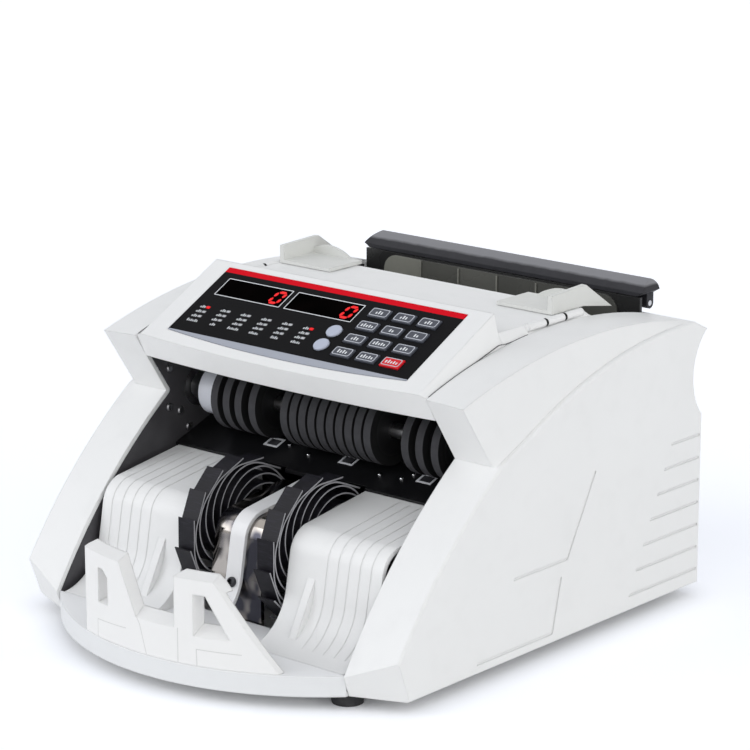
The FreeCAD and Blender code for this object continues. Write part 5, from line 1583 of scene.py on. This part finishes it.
@dataclass
class Services(Assembly):
    """Drive, boards and the mains fittings."""

    switch_x: float = -0.024
    inlet_x: float = -0.062
    inlet_z: float = 0.047
    mark_offset: float = 0.0052
    mark_radius: float = 0.0021
    mark_stroke: float = 0.0006
    mark_proud: float = 0.00012
    screw_reach: float = 0.0166
    screw_radius: float = 0.0018
    screw_height: float = 0.0009

    def build(self) -> None:
        """Add the switch's on and off marks and the inlet's screws."""
        marks = Maker("switch_marks")
        rocker = Surface("power_switch")
        on, out = rocker.meet(Side.BACK, self.switch_x, self.inlet_z + self.mark_offset)
        side, tall = ACROSS * self.mark_stroke / 2, ACROSS.cross(out) * self.mark_radius
        marks.plate([on - side - tall, on + side - tall, on + side + tall, on - side + tall],
                    out * self.mark_proud)
        off, out = rocker.meet(Side.BACK, self.switch_x, self.inlet_z - self.mark_offset)
        wide, slim = self.mark_radius, self.mark_radius - self.mark_stroke
        marks.band(ring(off, out, lambda _: wide), ring(off, out, lambda _: slim), out * self.mark_proud)
        marks.finish(WHITE_INK, "fitting", Body.ROCKER.value)
        screws = Maker("inlet_screws")
        inlet = Surface("power_inlet")
        for reach in (-self.screw_reach, self.screw_reach):
            seat = inlet.meet(Side.BACK, self.inlet_x + reach, self.inlet_z)
            screws.screw(seat, self.screw_radius, self.screw_height, Drive.CROSS)
        screws.finish(SCREW_STEEL, "screw")

    def dress(self, dresser: Dresser) -> None:
        """Give the inner units and the rear fittings their finishes.

        Args:
            dresser: what gives them.
        """
        dresser.dress(PULLEY, "counting_pulley", "feed_pulley", "impeller_pulley", "motor_pulley")
        dresser.dress(BELT_RUBBER, "drive_belts")
        dresser.dress(MOTOR_COAT, "drive_motor")
        dresser.dress(BOARD, "circuit_boards")
        dresser.dress(CORE, "transformer")
        dresser.dress(FITTING, "power_inlet", "power_switch")


@dataclass(frozen=True)
class Lamp:
    """A broad soft light: its colour and level, its tilt and turn, and how wide it looks, in degrees."""

    name: str
    colour: Colour
    level: float
    tilt: float
    turn: float
    spread: float

    def hang(self) -> None:
        """Put the lamp in the scene."""
        data = bpy.data.lights.new(self.name, "SUN")
        data.color = self.colour
        data.energy = self.level
        data.angle = math.radians(self.spread)
        lamp = bpy.data.objects.new(self.name, data)
        lamp.rotation_euler = (math.radians(self.tilt), 0.0, math.radians(self.turn))
        bpy.context.scene.collection.objects.link(lamp)


@dataclass
class Studio:
    """Paper floor, soft light and the camera."""

    floor_size: float = 12.0
    horizon: Colour = (0.74, 0.74, 0.74)
    zenith: Colour = (0.35, 0.37, 0.41)
    lamps: Tuple[Lamp, ...] = (
        Lamp("left_lamp", (0.95, 0.97, 1.0), level=0.77, tilt=62.0, turn=-42.0, spread=40.0),
        Lamp("right_lamp", (1.0, 0.995, 0.965), level=1.3, tilt=68.0, turn=66.0, spread=110.0))
    eye: Tuple[float, float, float] = (1.05816, -1.20843, 0.55571)
    azimuth: float = 40.53
    elevation: float = 14.83
    lens: float = 152.5
    film_width: float = 36.0
    sight: float = 50.0

    def build(self) -> None:
        """Set up everything round the object."""
        self._floor()
        self._sky()
        for lamp in self.lamps:
            lamp.hang()
        self._camera()
        bpy.context.scene.view_settings.view_transform = "Standard"

    def _floor(self) -> None:
        """Lay the floor."""
        half = self.floor_size / 2
        corners = [(-half, -half, 0), (half, -half, 0), (half, half, 0), (-half, half, 0)]
        mesh = bpy.data.meshes.new("floor")
        mesh.from_pydata(corners, [], [(0, 1, 2, 3)])
        mesh.materials.append(FLOOR_PAPER.material())
        floor = bpy.data.objects.new("floor", mesh)
        bpy.context.scene.collection.objects.link(floor)

    def _sky(self) -> None:
        """Light from all round, less from above, and show white where the camera or a gloss looks past."""
        world = bpy.data.worlds.new("studio")
        world.use_nodes = True
        bpy.context.scene.world = world
        graph = Graph(world.node_tree)
        heading = graph.add("ShaderNodeTexCoord", output="Generated")
        height = graph.add("ShaderNodeSeparateXYZ", inputs={0: heading}, output="Z").most(0.0)
        sky = graph.mix(height, self.horizon, self.zenith)
        background = graph.node("ShaderNodeBackground")
        graph.feed(background.inputs["Color"], graph.mix(graph.looked_at(), sky, WHITE))
        graph.feed(background.inputs["Strength"], 1.0)

    def _camera(self) -> None:
        """Put the camera at the photograph's view."""
        data = bpy.data.cameras.new("camera")
        data.lens = self.lens
        data.sensor_width = self.film_width
        data.clip_end = self.sight
        camera = bpy.data.objects.new("camera", data)
        camera.location = self.eye
        camera.rotation_euler = (math.radians(90.0 - self.elevation), 0.0, math.radians(self.azimuth))
        bpy.context.scene.collection.objects.link(camera)
        bpy.context.scene.camera = camera


def main() -> None:
    """Build the sub-assemblies in order, dress them and light them."""
    logging.basicConfig(level=logging.INFO, format="%(name)s %(message)s")
    dresser = Dresser()
    for part in (Console(), Housing(), Transport(), Stacker(), Hopper(), Services()):
        part.build()
        part.dress(dresser)
    Studio().build()
    LOG.info("nodes without a finish: %s", dresser.left() or "none")


if __name__ == "__main__":
    main()
